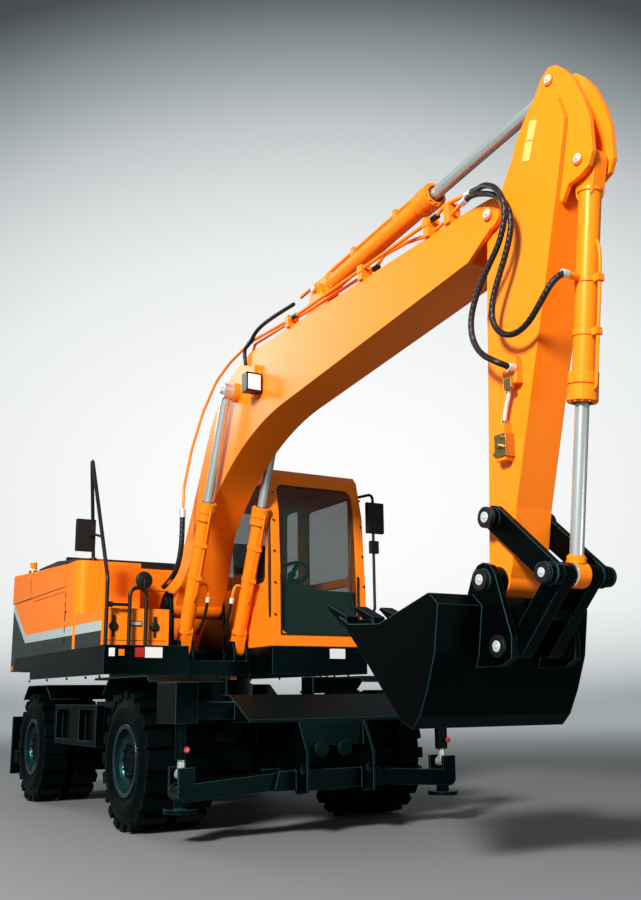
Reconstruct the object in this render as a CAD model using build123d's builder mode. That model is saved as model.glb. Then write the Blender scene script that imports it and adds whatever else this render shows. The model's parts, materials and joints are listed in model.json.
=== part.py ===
"""Wheeled excavator with dual tyres, front outriggers and a rear dozer blade.

Millimetres. +X points towards the boom's end, +Y to the operator's left (the cab side), +Z up,
and the tyres stand on z = 0. Lengths along X are measured from the slewing axis, and the planes
below carry them to the part's own origin, which lies on the ground below the machine's middle.
Points of a side view are (x, z). A limit pair is (low, high).
"""
import os
from math import hypot, radians, tan

from build123d import *

os.makedirs("parts", exist_ok=True)

# --- frame and running clearances ---
slew_x = -1511              # slewing axis, from the part's origin
pin_gap = 0.05              # radial running clearance of a pin in its bore
side_gap = 6                # gap beside an eye, a boss or a swinging panel

# --- wheels and axles ---
front_x, rear_x = 1430, -1370
machine_w = 2500            # over the tyres
tyre_r, tyre_w = 522, 278
axle_z = 522                # axle line that the other heights are set out from
rise = tyre_r - axle_z      # taller tyres lift the whole machine
crown_r, shoulder_r, flank_r, bead_r = tyre_r - 32, tyre_r - 52, 400, 262
crown_w, bead_w, seat_r = 200, 210, 284
lug_pitches, lug_w, lug_len = 20, 86, 236
lug_turn = 90               # first lug, at the top of the wheel
dual_pitch = 320            # between the middles of twin tyres
rim_r, rim_wall, flange_r, flange_w = 252, 12, 276, 9
hub_r, disc_w = 140, 20
spindle_r, drum_r = 60, 150
beam_w, beam_h, beam_y = 200, 210, 605
diff_r = 205
kingpin_y, kingpin_r, kingpin_boss_r = 690, 35, 74
yoke_w, yoke_t, yoke_gap, yoke_end = 150, 40, 125, 770
outer_y = machine_w / 2 - tyre_w / 2
inner_y = outer_y - dual_pitch
drum_y, spindle_y, hub_cover_y = outer_y - 61, outer_y + 39, outer_y + 71
steer_arm = 150             # ball of the steering arm behind the kingpin
steer_rod_r, steer_barrel_r, steer_eye_r = 20, 45, 42

# --- chassis ---
chassis_x, chassis_z, chassis_y, plate_t = (-1900, 2060), (640, 960), 400, 16
pedestal_r, pedestal_wall, pedestal_top = 520, 90, 1120
ring_r, ring_wall, ring_top, ring_gap = 500, 70, 1174, 6
fender_t, fender_y = 8, (640, machine_w / 2 - 10)
step_x, step_z, step_y, step_t = (-650, 620), (590, 940), (machine_w / 2 - 120, machine_w / 2 - 45), 40
locker_y = (402, step_y[0] - 4)

# --- outriggers ---
guard_x, guard_y, guard_z = (2070, 2430), (1045, 1215), (815, 1100)
cover_y, cover_t = 700, 20
leg_x, leg_pivot, leg_end, leg_h = (2250, 2450), (365, 400), (1130, 330), 120
leg_pin_r = 30
leg_top = (1130, 1010)      # cylinder's upper pin (y, z)
leg_eye = (1130, 470)       # cylinder's lower pin (y, z)
leg_barrel_r, leg_rod_r = 50, 30
pad_r, pad_t, pad_z = 150, 30, 215
tie_eye_r, lift_hole_r = 30, 25

# --- dozer blade ---
blade_pivot = (-1560, 440)
blade_x, blade_z, blade_half, blade_t = -2200, (215, 810), 1235, 25
blade_notch_y, blade_notch_z = 380, 640
blade_arm_y, blade_arm_w, blade_pin_r = 330, 70, 35
blade_base, blade_eye, blade_lift_y = (-1960, 1060), (-2010, 480), 200
lift_barrel_r, lift_rod_r, lift_barrel_end, lift_rod_start = 50, 30, 350, 235
lift_pin_r, lift_eye_w = 25, 100

# --- upper structure ---
half_w = machine_w / 2 - 13
tail_x, deck_top, deck_t, skirt_z, skirt_t = -2260, 1437, 30, 1190, 20
right_front_x, cab_front_x, well_front_x = 865, 1100, 640
boom_y = -120               # boom's centre line, right of the slewing axis
foot = (120, 1870)
foot_pin_r, foot_boss_r, foot_half = 50, 125, 245
main_t = 30
cyl_base = (531, 1435)
cyl_y, cyl_eye_w, cyl_eye_r, cyl_pin_r, lug_t = 270, 90, 75, 35, 25
house_x, house_top, house_t = (-1600, -330), 2040, 25
cab_rear_x = -560
hood_x, hood_z, hood_t = (-2480, -400), (2262, 2365), 20
cover_x, cover_y_limits, cover_h = (-2400, -430), (-1010, 180), 75
tail_z = (1290, 2035)
tank_x, tank_y, tank_top = (-324, 0), (-half_w, -620), 2258
locker_front_x, locker_top = 760, 1745

# --- cab ---
cab_y, cab_wall = (240, half_w), 50
glass_t = 6

# --- boom, arm, bucket and their cylinders (side view points) ---
boom_half, boom_wall = 170, 14
cyl_top = (1427, 3629)      # rod pins of the boom cylinders
tip = (4905, 3783)          # boom to arm
tip_r, tip_pin_r, fork_t = 95, 38, 30
arm_base = (2680, 4165)     # arm cylinder's barrel pin
arm_rod = (5391, 4421)      # arm cylinder's rod pin
arm_half, arm_wall = 130, 12
lobe_y = (63, 93)           # plates that hold the arm's and the bucket's cylinders
bucket_base = (5570, 3831)  # bucket cylinder's barrel pin
rocker_pin, rocker_end = (4817, 1961), (5247, 1605)
bucket_pin, bucket_eye = (4789, 1612), (4908, 1245)
rocker_y, rocker_head = (142, 182), 240
ear_y, ear_head = (206, 246), 275
bucket_half, bucket_wall = 550, 22

# --- hydraulic lines (x, y, z): steel pipes on the boom, and the hoses that bend with the arm ---
pipe_routes = (
    (((730, -500, 2560), (698, -480, 2882), (770, -440, 3240), (880, -380, 3580), (1065, -330, 3840),
      (1270, -290, 3963), (1681, -290, 4022), (2502, -290, 3979), (4382, -290, 3998), (4490, -290, 4036),
      (4643, -290, 4016), (4720, -305, 3995)), (300, 300, 300, 250, 250, 400, 400, 150, 150, 60)),
    (((1650, -240, 3935), (1650, -240, 4016), (2834, -240, 3984), (3614, -240, 3966), (3713, -240, 4022),
      (3988, -240, 4000), (4242, -240, 3948), (4420, -255, 3945), (4600, -290, 3952), (4700, -325, 3942)),
     (60, 200, 200, 100, 150, 200, 150, 150)))
foot_hose = ((730, -500, 2610), (728, -500, 2440), (705, -500, 2290), (630, -500, 2150), (480, -500, 2060),
             (300, -500, 2010))
hose_r = 18
hose_ends = ((5060, -330, 2775), (5476, -285, 3183))
hose_routes = (
    ((4721, -305.2, 3994.7), (4850, -330, 3960), (4990, -385, 3912), (5105, -402, 3833), (5165, -402, 3725),
     (5165, -402, 3605), (5105, -402, 3480), (5000, -402, 3382), (4890, -402, 3262), (4825, -402, 3130),
     (4830, -402, 3000), (4900, -402, 2890), (5000, -402, 2822), (5048, -388, 2790), hose_ends[0]),
    ((4701, -325.3, 3941.9), (4830, -360, 3929), (4975, -362, 3870), (5095, -362, 3790), (5165, -362, 3680),
     (5170, -362, 3555), (5115, -362, 3430), (5040, -362, 3310), (4975, -362, 3190), (4965, -362, 3070),
     (5030, -362, 2975), (5140, -362, 2930), (5255, -362, 2955), (5350, -362, 3030), (5425, -355, 3110),
     (5470, -325, 3165), hose_ends[1]))


def side(y):
    """A side view at y: sketch x forward, sketch y up, normal to the right."""
    return Plane((slew_x, y, rise), x_dir=(1, 0, 0), z_dir=(0, -1, 0))


def across(x):
    """A view along travel at x: sketch x to the left, sketch y up, normal forward."""
    return Plane((slew_x + x, 0, rise), x_dir=(0, 1, 0), z_dir=(1, 0, 0))


def level(z):
    """A plan at height z: sketch x forward, sketch y to the left, normal up."""
    return Plane((slew_x, 0, z + rise))


def block(x, y, z, mode=Mode.ADD):
    """A box between three pairs of limits."""
    middle = (slew_x + sum(x) / 2, sum(y) / 2, sum(z) / 2 + rise)
    with Locations(middle):
        Box(abs(x[1] - x[0]), abs(y[1] - y[0]), abs(z[1] - z[0]), mode=mode)


def plate(points, y, mode=Mode.ADD):
    """A side-view polygon between two values of y."""
    with BuildSketch(side(max(y))) as outline:
        with BuildLine():
            Polyline(*points, close=True)
        make_face()
    extrude(outline.sketch, amount=max(y) - min(y), mode=mode)


def panel(points, x, mode=Mode.ADD):
    """A polygon of (y, z) points between two values of x."""
    with BuildSketch(across(min(x))) as outline:
        with BuildLine():
            Polyline(*points, close=True)
        make_face()
    extrude(outline.sketch, amount=max(x) - min(x), mode=mode)


def slab(points, z, mode=Mode.ADD):
    """A plan polygon of (x, y) points between two heights."""
    with BuildSketch(level(min(z))) as outline:
        with BuildLine():
            Polyline(*points, close=True)
        make_face()
    extrude(outline.sketch, amount=max(z) - min(z), mode=mode)


def boss(point, y, radius, mode=Mode.ADD):
    """A round bar along Y at a side-view point."""
    with BuildSketch(side(max(y))) as outline:
        with Locations(point):
            Circle(radius)
    extrude(outline.sketch, amount=max(y) - min(y), mode=mode)


def post(x, y, z, radius, mode=Mode.ADD):
    """An upright round bar."""
    with BuildSketch(level(min(z))) as outline:
        with Locations((x, y)):
            Circle(radius)
    extrude(outline.sketch, amount=max(z) - min(z), mode=mode)


def link(first, second, radii, y):
    """A flat link with round ends between two side-view points."""
    with BuildSketch(side(max(y))) as outline:
        for point, radius in zip((first, second), radii):
            with Locations(point):
                Circle(radius)
        make_hull()
    extrude(outline.sketch, amount=max(y) - min(y))


def along(first, second, distance):
    """The point at a distance from the first point towards the second."""
    run = hypot(second[0] - first[0], second[1] - first[1])
    return tuple(a + (b - a) * distance / run for a, b in zip(first, second))


def bar(first, second, y, radius, span, mode=Mode.ADD):
    """A round bar on the side-view line between two points, over a span from the first."""
    run = Vector(second[0] - first[0], 0, second[1] - first[1]).normalized()
    start = Vector(slew_x + first[0], y, first[1] + rise) + run * span[0]
    with BuildSketch(Plane(start, z_dir=run)) as outline:
        Circle(radius)
    extrude(outline.sketch, amount=span[1] - span[0], mode=mode)


def bar_yz(first, second, x, radius, span, mode=Mode.ADD):
    """A round bar on the line between two (y, z) points, over a span from the first."""
    run = Vector(0, second[0] - first[0], second[1] - first[1]).normalized()
    start = Vector(slew_x + x, first[0], first[1] + rise) + run * span[0]
    with BuildSketch(Plane(start, z_dir=run)) as outline:
        Circle(radius)
    extrude(outline.sketch, amount=span[1] - span[0], mode=mode)


def turned(x, rings, mode=Mode.ADD):
    """Rings of (y limits, radius limits) turned about the axle at x."""
    with BuildSketch(across(x)) as outline:
        for y, radius in rings:
            with Locations((sum(y) / 2, axle_z + sum(radius) / 2)):
                Rectangle(abs(y[1] - y[0]), radius[1] - radius[0])
    revolve(outline.sketch, axis=Axis((slew_x + x, 0, axle_z + rise), (0, 1, 0)), mode=mode)


def pipe(points, radii, radius):
    """A round bar bent through points (x, y, z), one bend radius for each inner point."""
    with BuildLine(mode=Mode.PRIVATE) as route:
        FilletPolyline(*[(slew_x + x, y, z + rise) for x, y, z in points], radius=radii)
    with BuildSketch(Plane(route.line @ 0, z_dir=route.line % 0)) as outline:
        Circle(radius)
    sweep(outline.sketch, path=route.line)


def bends(points):
    """The largest bend radii that leave a straight piece in each run between the points."""
    corners = [Vector(*point) for point in points]
    radii = []
    for before, here, after in zip(corners, corners[1:], corners[2:]):
        turn = (here - before).get_angle(after - here)
        shorter = min((here - before).length, (after - here).length)
        radii.append(round(0.45 * shorter / tan(radians(turn / 2))))
    print("bend radii", radii)
    return radii


def both(low, high, sign=1, middle=0):
    """Limits mirrored about the middle: sign 1 gives the left pair, -1 the right one."""
    return tuple(sorted((middle + sign * low, middle + sign * high)))


def write(piece, name):
    """Label a finished piece and write its STEP file."""
    piece.part.label = name
    export_step(piece.part, f"parts/{name}.step")


# --- wheels: name, axle position, side ---
wheels = (("front_left", front_x, 1), ("front_right", front_x, -1),
          ("rear_left", rear_x, 1), ("rear_right", rear_x, -1))


def wheel_plane(x, y):
    """The plane of a wheel at y: sketch x forward, normal to the left."""
    return Plane((slew_x + x, y, tyre_r), x_dir=(1, 0, 0), z_dir=(0, 1, 0))


def tapered(x, sections, mode=Mode.ADD):
    """A many-sided ring lofted through (y, radius) sections, with a flat facet at the ground."""
    faces = []
    for y, radius in sections:
        with BuildSketch(wheel_plane(x, y)) as ring:
            RegularPolygon(radius, lug_pitches, rotation=lug_turn + 180 / lug_pitches)
        faces.append(ring.sketch.face())
    loft(faces, ruled=True, mode=mode)


for name, x, sign in wheels:
    with BuildPart() as tyres:
        for y in (sign * inner_y, sign * outer_y):
            flank, crown, bead = tyre_w / 2, crown_w / 2, bead_w / 2
            tapered(x, ((y - flank, flank_r), (y - crown, crown_r), (y + crown, crown_r), (y + flank, flank_r)))
            with BuildSketch(wheel_plane(x, y - lug_len / 2)):
                with PolarLocations((tyre_r + shoulder_r) / 2, lug_pitches, start_angle=lug_turn):
                    Rectangle(tyre_r - shoulder_r, lug_w)
            extrude(amount=lug_len)
            tapered(x, ((y - flank, bead_r), (y + flank, bead_r)), Mode.SUBTRACT)
            for out in (-1, 1):
                tapered(x, ((y + out * bead, seat_r), (y + out * flank, flank_r - 50)), Mode.SUBTRACT)
    write(tyres, f"tyres_{name}")

    with BuildPart() as rims:
        seat = (rim_r - rim_wall, rim_r)
        lip = (rim_r - rim_wall, flange_r)
        rings = [(both(inner_y - bead_w / 2, outer_y + bead_w / 2, sign), seat)]
        for middle in (inner_y, outer_y):
            for edge in (-1, 1):
                flange = middle + edge * bead_w / 2
                rings.append((both(flange, flange + edge * flange_w, sign), lip))
        rings.append((both(outer_y - disc_w, outer_y, sign), (hub_r - rim_wall, rim_r)))
        rings.append((both(drum_y + side_gap, hub_cover_y, sign), (0, hub_r)))
        turned(x, rings)
        turned(x, [(both(drum_y, spindle_y + side_gap, sign), (0, spindle_r + pin_gap))], Mode.SUBTRACT)
    write(rims, f"rims_{name}")

# --- axles, knuckles and steering ---
with BuildPart() as rear_axle:
    block((rear_x - beam_w / 2, rear_x + beam_w / 2), (-beam_y, beam_y), (axle_z - beam_h / 2, axle_z + beam_h / 2))
    with Locations((slew_x + rear_x, 0, axle_z + rise)):
        Sphere(diff_r)
    for sign in (1, -1):
        turned(rear_x, [(both(beam_y, drum_y, sign), (0, drum_r)),
                        (both(drum_y, spindle_y, sign), (0, spindle_r))])
        for x in (rear_x - beam_w / 2, rear_x + beam_w / 2):
            block((x - plate_t, x + plate_t), both(190, 255, sign), (axle_z, chassis_z[0]))
write(rear_axle, "rear_axle")

with BuildPart() as front_axle:
    block((front_x - beam_w / 2, front_x + beam_w / 2), (-beam_y, beam_y), (axle_z - beam_h / 2, axle_z + beam_h / 2))
    with Locations((slew_x + front_x, 0, axle_z + rise)):
        Sphere(diff_r)
    for sign in (1, -1):
        block((front_x - yoke_w / 2, front_x + yoke_w / 2), both(beam_y - yoke_t, beam_y, sign),
              (axle_z - yoke_gap - yoke_t, axle_z + yoke_gap + yoke_t))
        for low in (axle_z + yoke_gap, axle_z - yoke_gap - yoke_t):
            block((front_x - yoke_w / 2, front_x + yoke_w / 2), both(beam_y, yoke_end, sign), (low, low + yoke_t))
        post(front_x, sign * kingpin_y, (axle_z - yoke_gap - yoke_t, axle_z + yoke_gap + yoke_t), kingpin_r)
        steer_x = front_x - steer_arm
        block((steer_x - side_gap, front_x - beam_w / 2), both(220, 320, sign), (axle_z - steer_barrel_r, axle_z))
        block((front_x - 40, front_x + 40), both(230, 330, sign), (axle_z, chassis_z[0]))
    boss((front_x - steer_arm, axle_z), (-330, 330), steer_barrel_r)
    boss((front_x - steer_arm, axle_z), (-340, 340), steer_rod_r + pin_gap, Mode.SUBTRACT)
write(front_axle, "front_axle")

with BuildPart() as steer_rod:
    boss((front_x - steer_arm, axle_z), (8 + steer_eye_r - 16 - kingpin_y, kingpin_y - steer_eye_r + 8), steer_rod_r)
    for sign in (1, -1):
        post(front_x - steer_arm, sign * kingpin_y, (axle_z - 18, axle_z + 18), steer_eye_r)
        post(front_x - steer_arm, sign * kingpin_y, (axle_z - 18, axle_z + 18), steer_eye_r - 10, Mode.SUBTRACT)
write(steer_rod, "steering_rod")

for name, sign in (("left", 1), ("right", -1)):
    with BuildPart() as knuckle:
        knuckle_z = (axle_z - yoke_gap + side_gap, axle_z + yoke_gap - side_gap)
        post(front_x, sign * kingpin_y, knuckle_z, kingpin_boss_r)
        block((front_x - kingpin_boss_r, front_x + kingpin_boss_r), both(kingpin_y, 820, sign), (axle_z - 90, axle_z + 90))
        turned(front_x, [(both(815, drum_y, sign), (0, drum_r)),
                         (both(drum_y, spindle_y, sign), (0, spindle_r))])
        post(front_x, sign * kingpin_y, knuckle_z, kingpin_r + pin_gap, Mode.SUBTRACT)
        arm_z = (axle_z - 60, axle_z - 30)
        block((front_x - steer_arm, front_x - kingpin_r - side_gap), both(kingpin_y - 25, kingpin_y + 25, sign), arm_z)
        post(front_x - steer_arm, sign * kingpin_y, (axle_z - 60, axle_z + 18), 14)
    write(knuckle, f"steering_knuckle_{name}")

with BuildPart() as driveline:
    boss_x = (rear_x + diff_r, front_x - diff_r)
    with BuildSketch(across(boss_x[0])):
        with Locations((0, axle_z)):
            Circle(40)
    extrude(amount=boss_x[1] - boss_x[0])
    block((rear_x + 260, rear_x + 620), (-150, 150), (axle_z - 120, chassis_z[0]))
write(driveline, "driveline")

# --- chassis ---
with BuildPart() as chassis:
    block(chassis_x, (-chassis_y, chassis_y), chassis_z)
    inner_x = (chassis_x[0] + plate_t, chassis_x[1] - plate_t)
    block(inner_x, (plate_t - chassis_y, chassis_y - plate_t), (chassis_z[0] + plate_t, chassis_z[1] - plate_t),
          Mode.SUBTRACT)
    for x in (rear_x, front_x):
        post(x, 0, (chassis_z[0] - 1, chassis_z[0] + plate_t + 1), 180, Mode.SUBTRACT)
    post(0, 0, (chassis_z[1], pedestal_top), pedestal_r)
    post(0, 0, (chassis_z[1], pedestal_top), pedestal_r - pedestal_wall, Mode.SUBTRACT)
    for sign in (1, -1):
        # ears of the dozer blade's arms, and brackets of its lift cylinders, with their pins
        ear = ((-1720, chassis_z[0]), (-1480, chassis_z[0]), (-1490, 390), (-1630, 390))
        inner, outer = blade_arm_y - blade_arm_w / 2 - side_gap, blade_arm_y + blade_arm_w / 2 + side_gap
        plate(ear, both(outer, outer + 25, sign))
        plate(ear, both(inner - 25, inner, sign))
        boss(blade_pivot, both(inner - 25, outer + 25, sign), blade_pin_r)
        bracket = ((chassis_x[0], 700), (-2000, 1010), (-2000, 1110), (-1920, 1110), (chassis_x[0], 940))
        near = blade_lift_y - lift_eye_w / 2 - side_gap
        far = blade_lift_y + lift_eye_w / 2 + side_gap
        plate(bracket, both(near - 20, near, sign))
        plate(bracket, both(far, far + 20, sign))
        boss(blade_base, both(near - 20, far + 20, sign), lift_pin_r)
    post(0, 0, (pedestal_top, ring_top), ring_r)
    post(0, 0, (pedestal_top, ring_top), ring_r - ring_wall, Mode.SUBTRACT)
write(chassis, "chassis")

# mudguards, each a bent plate: middle of the top, and the outline's (x, z) points
fenders_front = ((870, 1020), (1040, 1150), (1900, 1150), (1960, 1105))
fenders_rear = ((-1740, 985), (-1560, 1120), (-900, 1120), (-690, 985))
with BuildPart() as fenders:
    for outline, web in ((fenders_front, (1330, 1530)), (fenders_rear, (-1300, -1100))):
        for sign in (1, -1):
            with BuildSketch(side(max(both(*fender_y, sign)))):
                with BuildLine():
                    Polyline(*outline)
                    offset(amount=fender_t, side=Side.LEFT)
                make_face()
            extrude(amount=fender_y[1] - fender_y[0])
            top = outline[1][1]
            block(web, both(chassis_y + 1, fender_y[0], sign), (top, top + fender_t))
            block(web, both(chassis_y + 1, chassis_y + 1 + plate_t, sign), (chassis_z[1] - 100, top))
write(fenders, "mudguards")

with BuildPart() as lockers:
    for sign in (1, -1):
        block((step_x[0] + 20, step_x[1] - 20), both(*locker_y, sign), (step_z[0] + 20, step_z[1] - 20))
        block((step_x[0] + 32, step_x[1] - 32), both(locker_y[0] - 1, locker_y[1] - 12, sign),
              (step_z[0] + 32, step_z[1] - 32), Mode.SUBTRACT)
write(lockers, "side_lockers")

with BuildPart() as steps:
    openings = ((step_x[0] + 60, -130), (130, step_x[1] - 60))
    for sign in (1, -1):
        block(step_x, both(*step_y, sign), step_z)
        for opening in openings:
            block(opening, both(step_y[0] + 12, step_y[1], sign), (step_z[0] + step_t, step_z[1] - step_t), Mode.SUBTRACT)
write(steps, "access_steps")

# --- outriggers ---
with BuildPart() as outrigger_frame:
    cover = ((guard_x[0], 1010), (2200, 1010), (2530, 835), (2530, 815), (guard_x[0], 815))
    plate(cover, (-cover_y, cover_y))
    inside = ((guard_x[0] + cover_t, 990), (2195, 990), (2500, 832), (guard_x[0] + cover_t, 832))
    plate(inside, (cover_t - cover_y, cover_y - cover_t), Mode.SUBTRACT)
    for sign in (1, -1):
        block((2090, 2300), both(cover_y, guard_y[0], sign), (835, 960))
        block(guard_x, both(*guard_y, sign), guard_z)
        well_x = (leg_x[0] - 20, leg_x[1] - 40)
        block(well_x, both(guard_y[0] + 10, guard_y[1] - 10, sign), (guard_z[0], guard_z[1] - 30), Mode.SUBTRACT)
        cheek = ((2062, 815), (2530, 815), (2650, 600), (2650, 320), (2500, 300), (2062, 600))
        plate(cheek, both(272, 292, sign))
        boss((2590, 480), both(270, 294, sign), tie_eye_r, Mode.SUBTRACT)
        with BuildSketch(across(leg_x[0] + 10)):
            with Locations((sign * leg_top[0], leg_top[1])):
                Circle(leg_pin_r - pin_gap)
        extrude(amount=well_x[1] - leg_x[0])
    block((2062, 2110), (-292, 292), (600, 815))
    block((2500, 2520), (-272, 272), (640, 815))
    panel(((-430, 470), (430, 470), (470, 330), (-470, 330)), (2180, leg_x[0] - side_gap))
    panel(((-430, 470), (430, 470), (470, 330), (-470, 330)), (leg_x[1] + side_gap, 2490))
    block((2180, 2490), (-150, 150), (320, 470))
    for sign in (1, -1):
        with BuildSketch(across(2180)):
            with Locations((sign * leg_pivot[0], leg_pivot[1])):
                Circle(leg_pin_r)
        extrude(amount=310)
write(outrigger_frame, "outrigger_frame")

for name, sign in (("left", 1), ("right", -1)):
    with BuildPart() as leg:
        with BuildSketch(across(leg_x[0])):
            for point, radius in ((leg_pivot, leg_h / 2), ((leg_end[0], leg_end[1] + 20), leg_h / 2)):
                with Locations((sign * point[0], point[1])):
                    Circle(radius)
            make_hull()
        extrude(amount=leg_x[1] - leg_x[0])
        with BuildSketch(across(leg_x[0] - 1)):
            with Locations((sign * leg_pivot[0], leg_pivot[1])):
                Circle(leg_pin_r + pin_gap)
        extrude(amount=leg_x[1] - leg_x[0] + 2, mode=Mode.SUBTRACT)
        block((leg_x[0], leg_x[0] + 25), both(leg_eye[0] - 60, leg_eye[0] + 60, sign), (330, 520))
        block((leg_x[1] - 25, leg_x[1]), both(leg_eye[0] - 60, leg_eye[0] + 60, sign), (330, 520))
        post(sum(leg_x) / 2, sign * (leg_end[0]), (pad_z, pad_z + pad_t), pad_r - 30)
        post(sum(leg_x) / 2, sign * (leg_end[0]), (pad_z, leg_end[1]), 50)
    write(leg, f"outrigger_leg_{name}")

    pivot, eye = (sign * leg_top[0], leg_top[1]), (sign * leg_eye[0], leg_eye[1])
    leg_mid = sum(leg_x) / 2
    with BuildPart() as leg_barrel:
        with BuildSketch(across(leg_mid - 40)):
            with Locations(pivot):
                Circle(45)
        extrude(amount=80)
        bar_yz(pivot, eye, leg_mid, leg_barrel_r, (20, 440))
        bar_yz(pivot, eye, leg_mid, leg_rod_r + pin_gap, (50, 440), Mode.SUBTRACT)
        with BuildSketch(across(leg_mid - 60)):
            with Locations(pivot):
                Circle(leg_pin_r + pin_gap)
        extrude(amount=120, mode=Mode.SUBTRACT)
    write(leg_barrel, f"outrigger_barrel_{name}")

    with BuildPart() as leg_rod:
        bar_yz(pivot, eye, leg_mid, leg_rod_r, (90, 530))
        with BuildSketch(across(leg_mid - 40)):
            with Locations(eye):
                Circle(38)
        extrude(amount=80)
    write(leg_rod, f"outrigger_rod_{name}")

# --- dozer blade, at the rear ---
with BuildPart() as blade:
    top, low, notch = blade_z[1], blade_z[0], (blade_notch_y, blade_notch_z)
    panel(((-blade_half, low), (blade_half, low), (blade_half, top), (notch[0] + 60, top), notch,
           (-notch[0], notch[1]), (-notch[0] - 60, top), (-blade_half, top)), (blade_x, blade_x + blade_t))
    block((blade_x + blade_t, blade_x + 110), (-blade_half + 40, blade_half - 40), (330, 450))
    for sign in (1, -1):
        arm_y = both(blade_arm_y - blade_arm_w / 2, blade_arm_y + blade_arm_w / 2, sign)
        link(blade_pivot, (blade_x + 110, 410), (70, 70), arm_y)
        boss(blade_pivot, arm_y, blade_pin_r + pin_gap, Mode.SUBTRACT)
        near = blade_lift_y - lift_eye_w / 2 - side_gap
        far = blade_lift_y + lift_eye_w / 2 + side_gap
        lug = ((blade_x + 60, 440), (blade_eye[0] + 50, 440), (blade_eye[0] + 50, 520), (blade_x + 150, 520))
        plate(lug, both(near - 20, near, sign))
        plate(lug, both(far, far + 20, sign))
        boss(blade_eye, both(near - 35, near, sign), lift_pin_r)
        boss(blade_eye, both(far, far + 35, sign), lift_pin_r)
write(blade, "dozer_blade")

blade_run = hypot(blade_base[0] - blade_eye[0], blade_base[1] - blade_eye[1])
with BuildPart() as blade_barrels:
    for sign in (1, -1):
        eye_y = both(blade_lift_y - lift_eye_w / 2, blade_lift_y + lift_eye_w / 2, sign)
        boss(blade_base, eye_y, lift_barrel_r)
        bar(blade_base, blade_eye, sign * blade_lift_y, lift_barrel_r, (20, lift_barrel_end))
        bar(blade_base, blade_eye, sign * blade_lift_y, lift_rod_r + pin_gap, (50, lift_barrel_end), Mode.SUBTRACT)
        boss(blade_base, eye_y, lift_pin_r + pin_gap, Mode.SUBTRACT)
write(blade_barrels, "blade_cylinder_barrels")

with BuildPart() as blade_rods:
    for sign in (1, -1):
        eye_y = both(blade_lift_y - lift_eye_w / 2, blade_lift_y + lift_eye_w / 2, sign)
        bar(blade_base, blade_eye, sign * blade_lift_y, lift_rod_r, (lift_rod_start, blade_run - 20))
        boss(blade_eye, eye_y, 42)
write(blade_rods, "blade_cylinder_rods")

# --- upper structure ---
deck_outline = ((right_front_x, -half_w), (right_front_x, -470), (well_front_x, -470), (well_front_x, 234),
                (cab_front_x, 234), (cab_front_x, half_w), (tail_x, half_w), (tail_x, -half_w))
inner_outline = ((right_front_x - skirt_t, skirt_t - half_w), (right_front_x - skirt_t, -470 - skirt_t),
                 (well_front_x - skirt_t, -470 - skirt_t), (well_front_x - skirt_t, 234 + skirt_t),
                 (cab_front_x - skirt_t, 234 + skirt_t), (cab_front_x - skirt_t, half_w - skirt_t),
                 (tail_x + skirt_t, half_w - skirt_t), (tail_x + skirt_t, skirt_t - half_w))
cyl_ys = (boom_y - cyl_y, boom_y + cyl_y)
with BuildPart() as upper_frame:
    slab(deck_outline, (skirt_z, deck_top))
    slab(inner_outline, (skirt_z - 10, deck_top - deck_t), Mode.SUBTRACT)
    block((260, well_front_x + 1), (boom_y - 350, boom_y + 354), (skirt_z - 10, deck_top + 10), Mode.SUBTRACT)
    block((tail_x - 10, -1560), (-half_w - 10, half_w + 10), (skirt_z - 10, tail_z[0]), Mode.SUBTRACT)
    slab(((well_front_x, -560), (well_front_x, 420), (-560, 600), (-1500, 420), (-1500, -560), (-560, -600)),
         (1180, 1204))
    block((380, well_front_x), (boom_y - 350, boom_y + 350), (1204, 1320))
    foot_plate = ((-1500, 1204), (-1500, deck_top), (-370, deck_top), (foot[0] - 90, foot[1] + 90),
                  (foot[0], foot[1] + foot_boss_r), (foot[0] + 90, foot[1] + 90), (260, 1700), (300, 1204))
    for sign in (1, -1):
        plate(foot_plate, both(foot_half + 7, foot_half + 7 + main_t, sign, boom_y))
        for near in (cyl_y - cyl_eye_w / 2 - 5 - lug_t, cyl_y + cyl_eye_w / 2 + 5):
            lug = ((430, 1320), (well_front_x, 1320), (well_front_x, 1370), (600, 1500), (490, 1510), (430, 1400))
            plate(lug, both(near, near + lug_t, sign, boom_y))
        boss(cyl_base, both(cyl_y - 75, cyl_y + 75, sign, boom_y), cyl_pin_r)
    boss(foot, both(-foot_half - 60, foot_half + 60, 1, boom_y), foot_pin_r)
write(upper_frame, "upper_frame")

with BuildPart() as counterweight:
    side_end, corner = tail_x - 160, 130
    with BuildSketch(level(tail_z[0])):
        with BuildLine():
            Polyline((tail_x, -half_w), (side_end, -half_w))
            RadiusArc((side_end, -half_w), (side_end - corner, corner - half_w), -corner)
            ThreePointArc((side_end - corner, corner - half_w), (side_end - corner - 100, 0),
                          (side_end - corner, half_w - corner))
            RadiusArc((side_end - corner, half_w - corner), (side_end, half_w), -corner)
            Polyline((side_end, half_w), (tail_x, half_w), (tail_x, -half_w))
        make_face()
    extrude(amount=tail_z[1] - tail_z[0])
    for sign in (1, -1):
        block((tail_x, house_x[0]), both(half_w - 60, half_w, sign), (deck_top, tail_z[1]))
        eye = (side_end - corner - 10, tail_z[1] + 65)
        link((eye[0], tail_z[1] - 20), eye, (60, 60), both(485, 515, sign))
        boss(eye, both(480, 520, sign), lift_hole_r, Mode.SUBTRACT)
write(counterweight, "counterweight")

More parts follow.
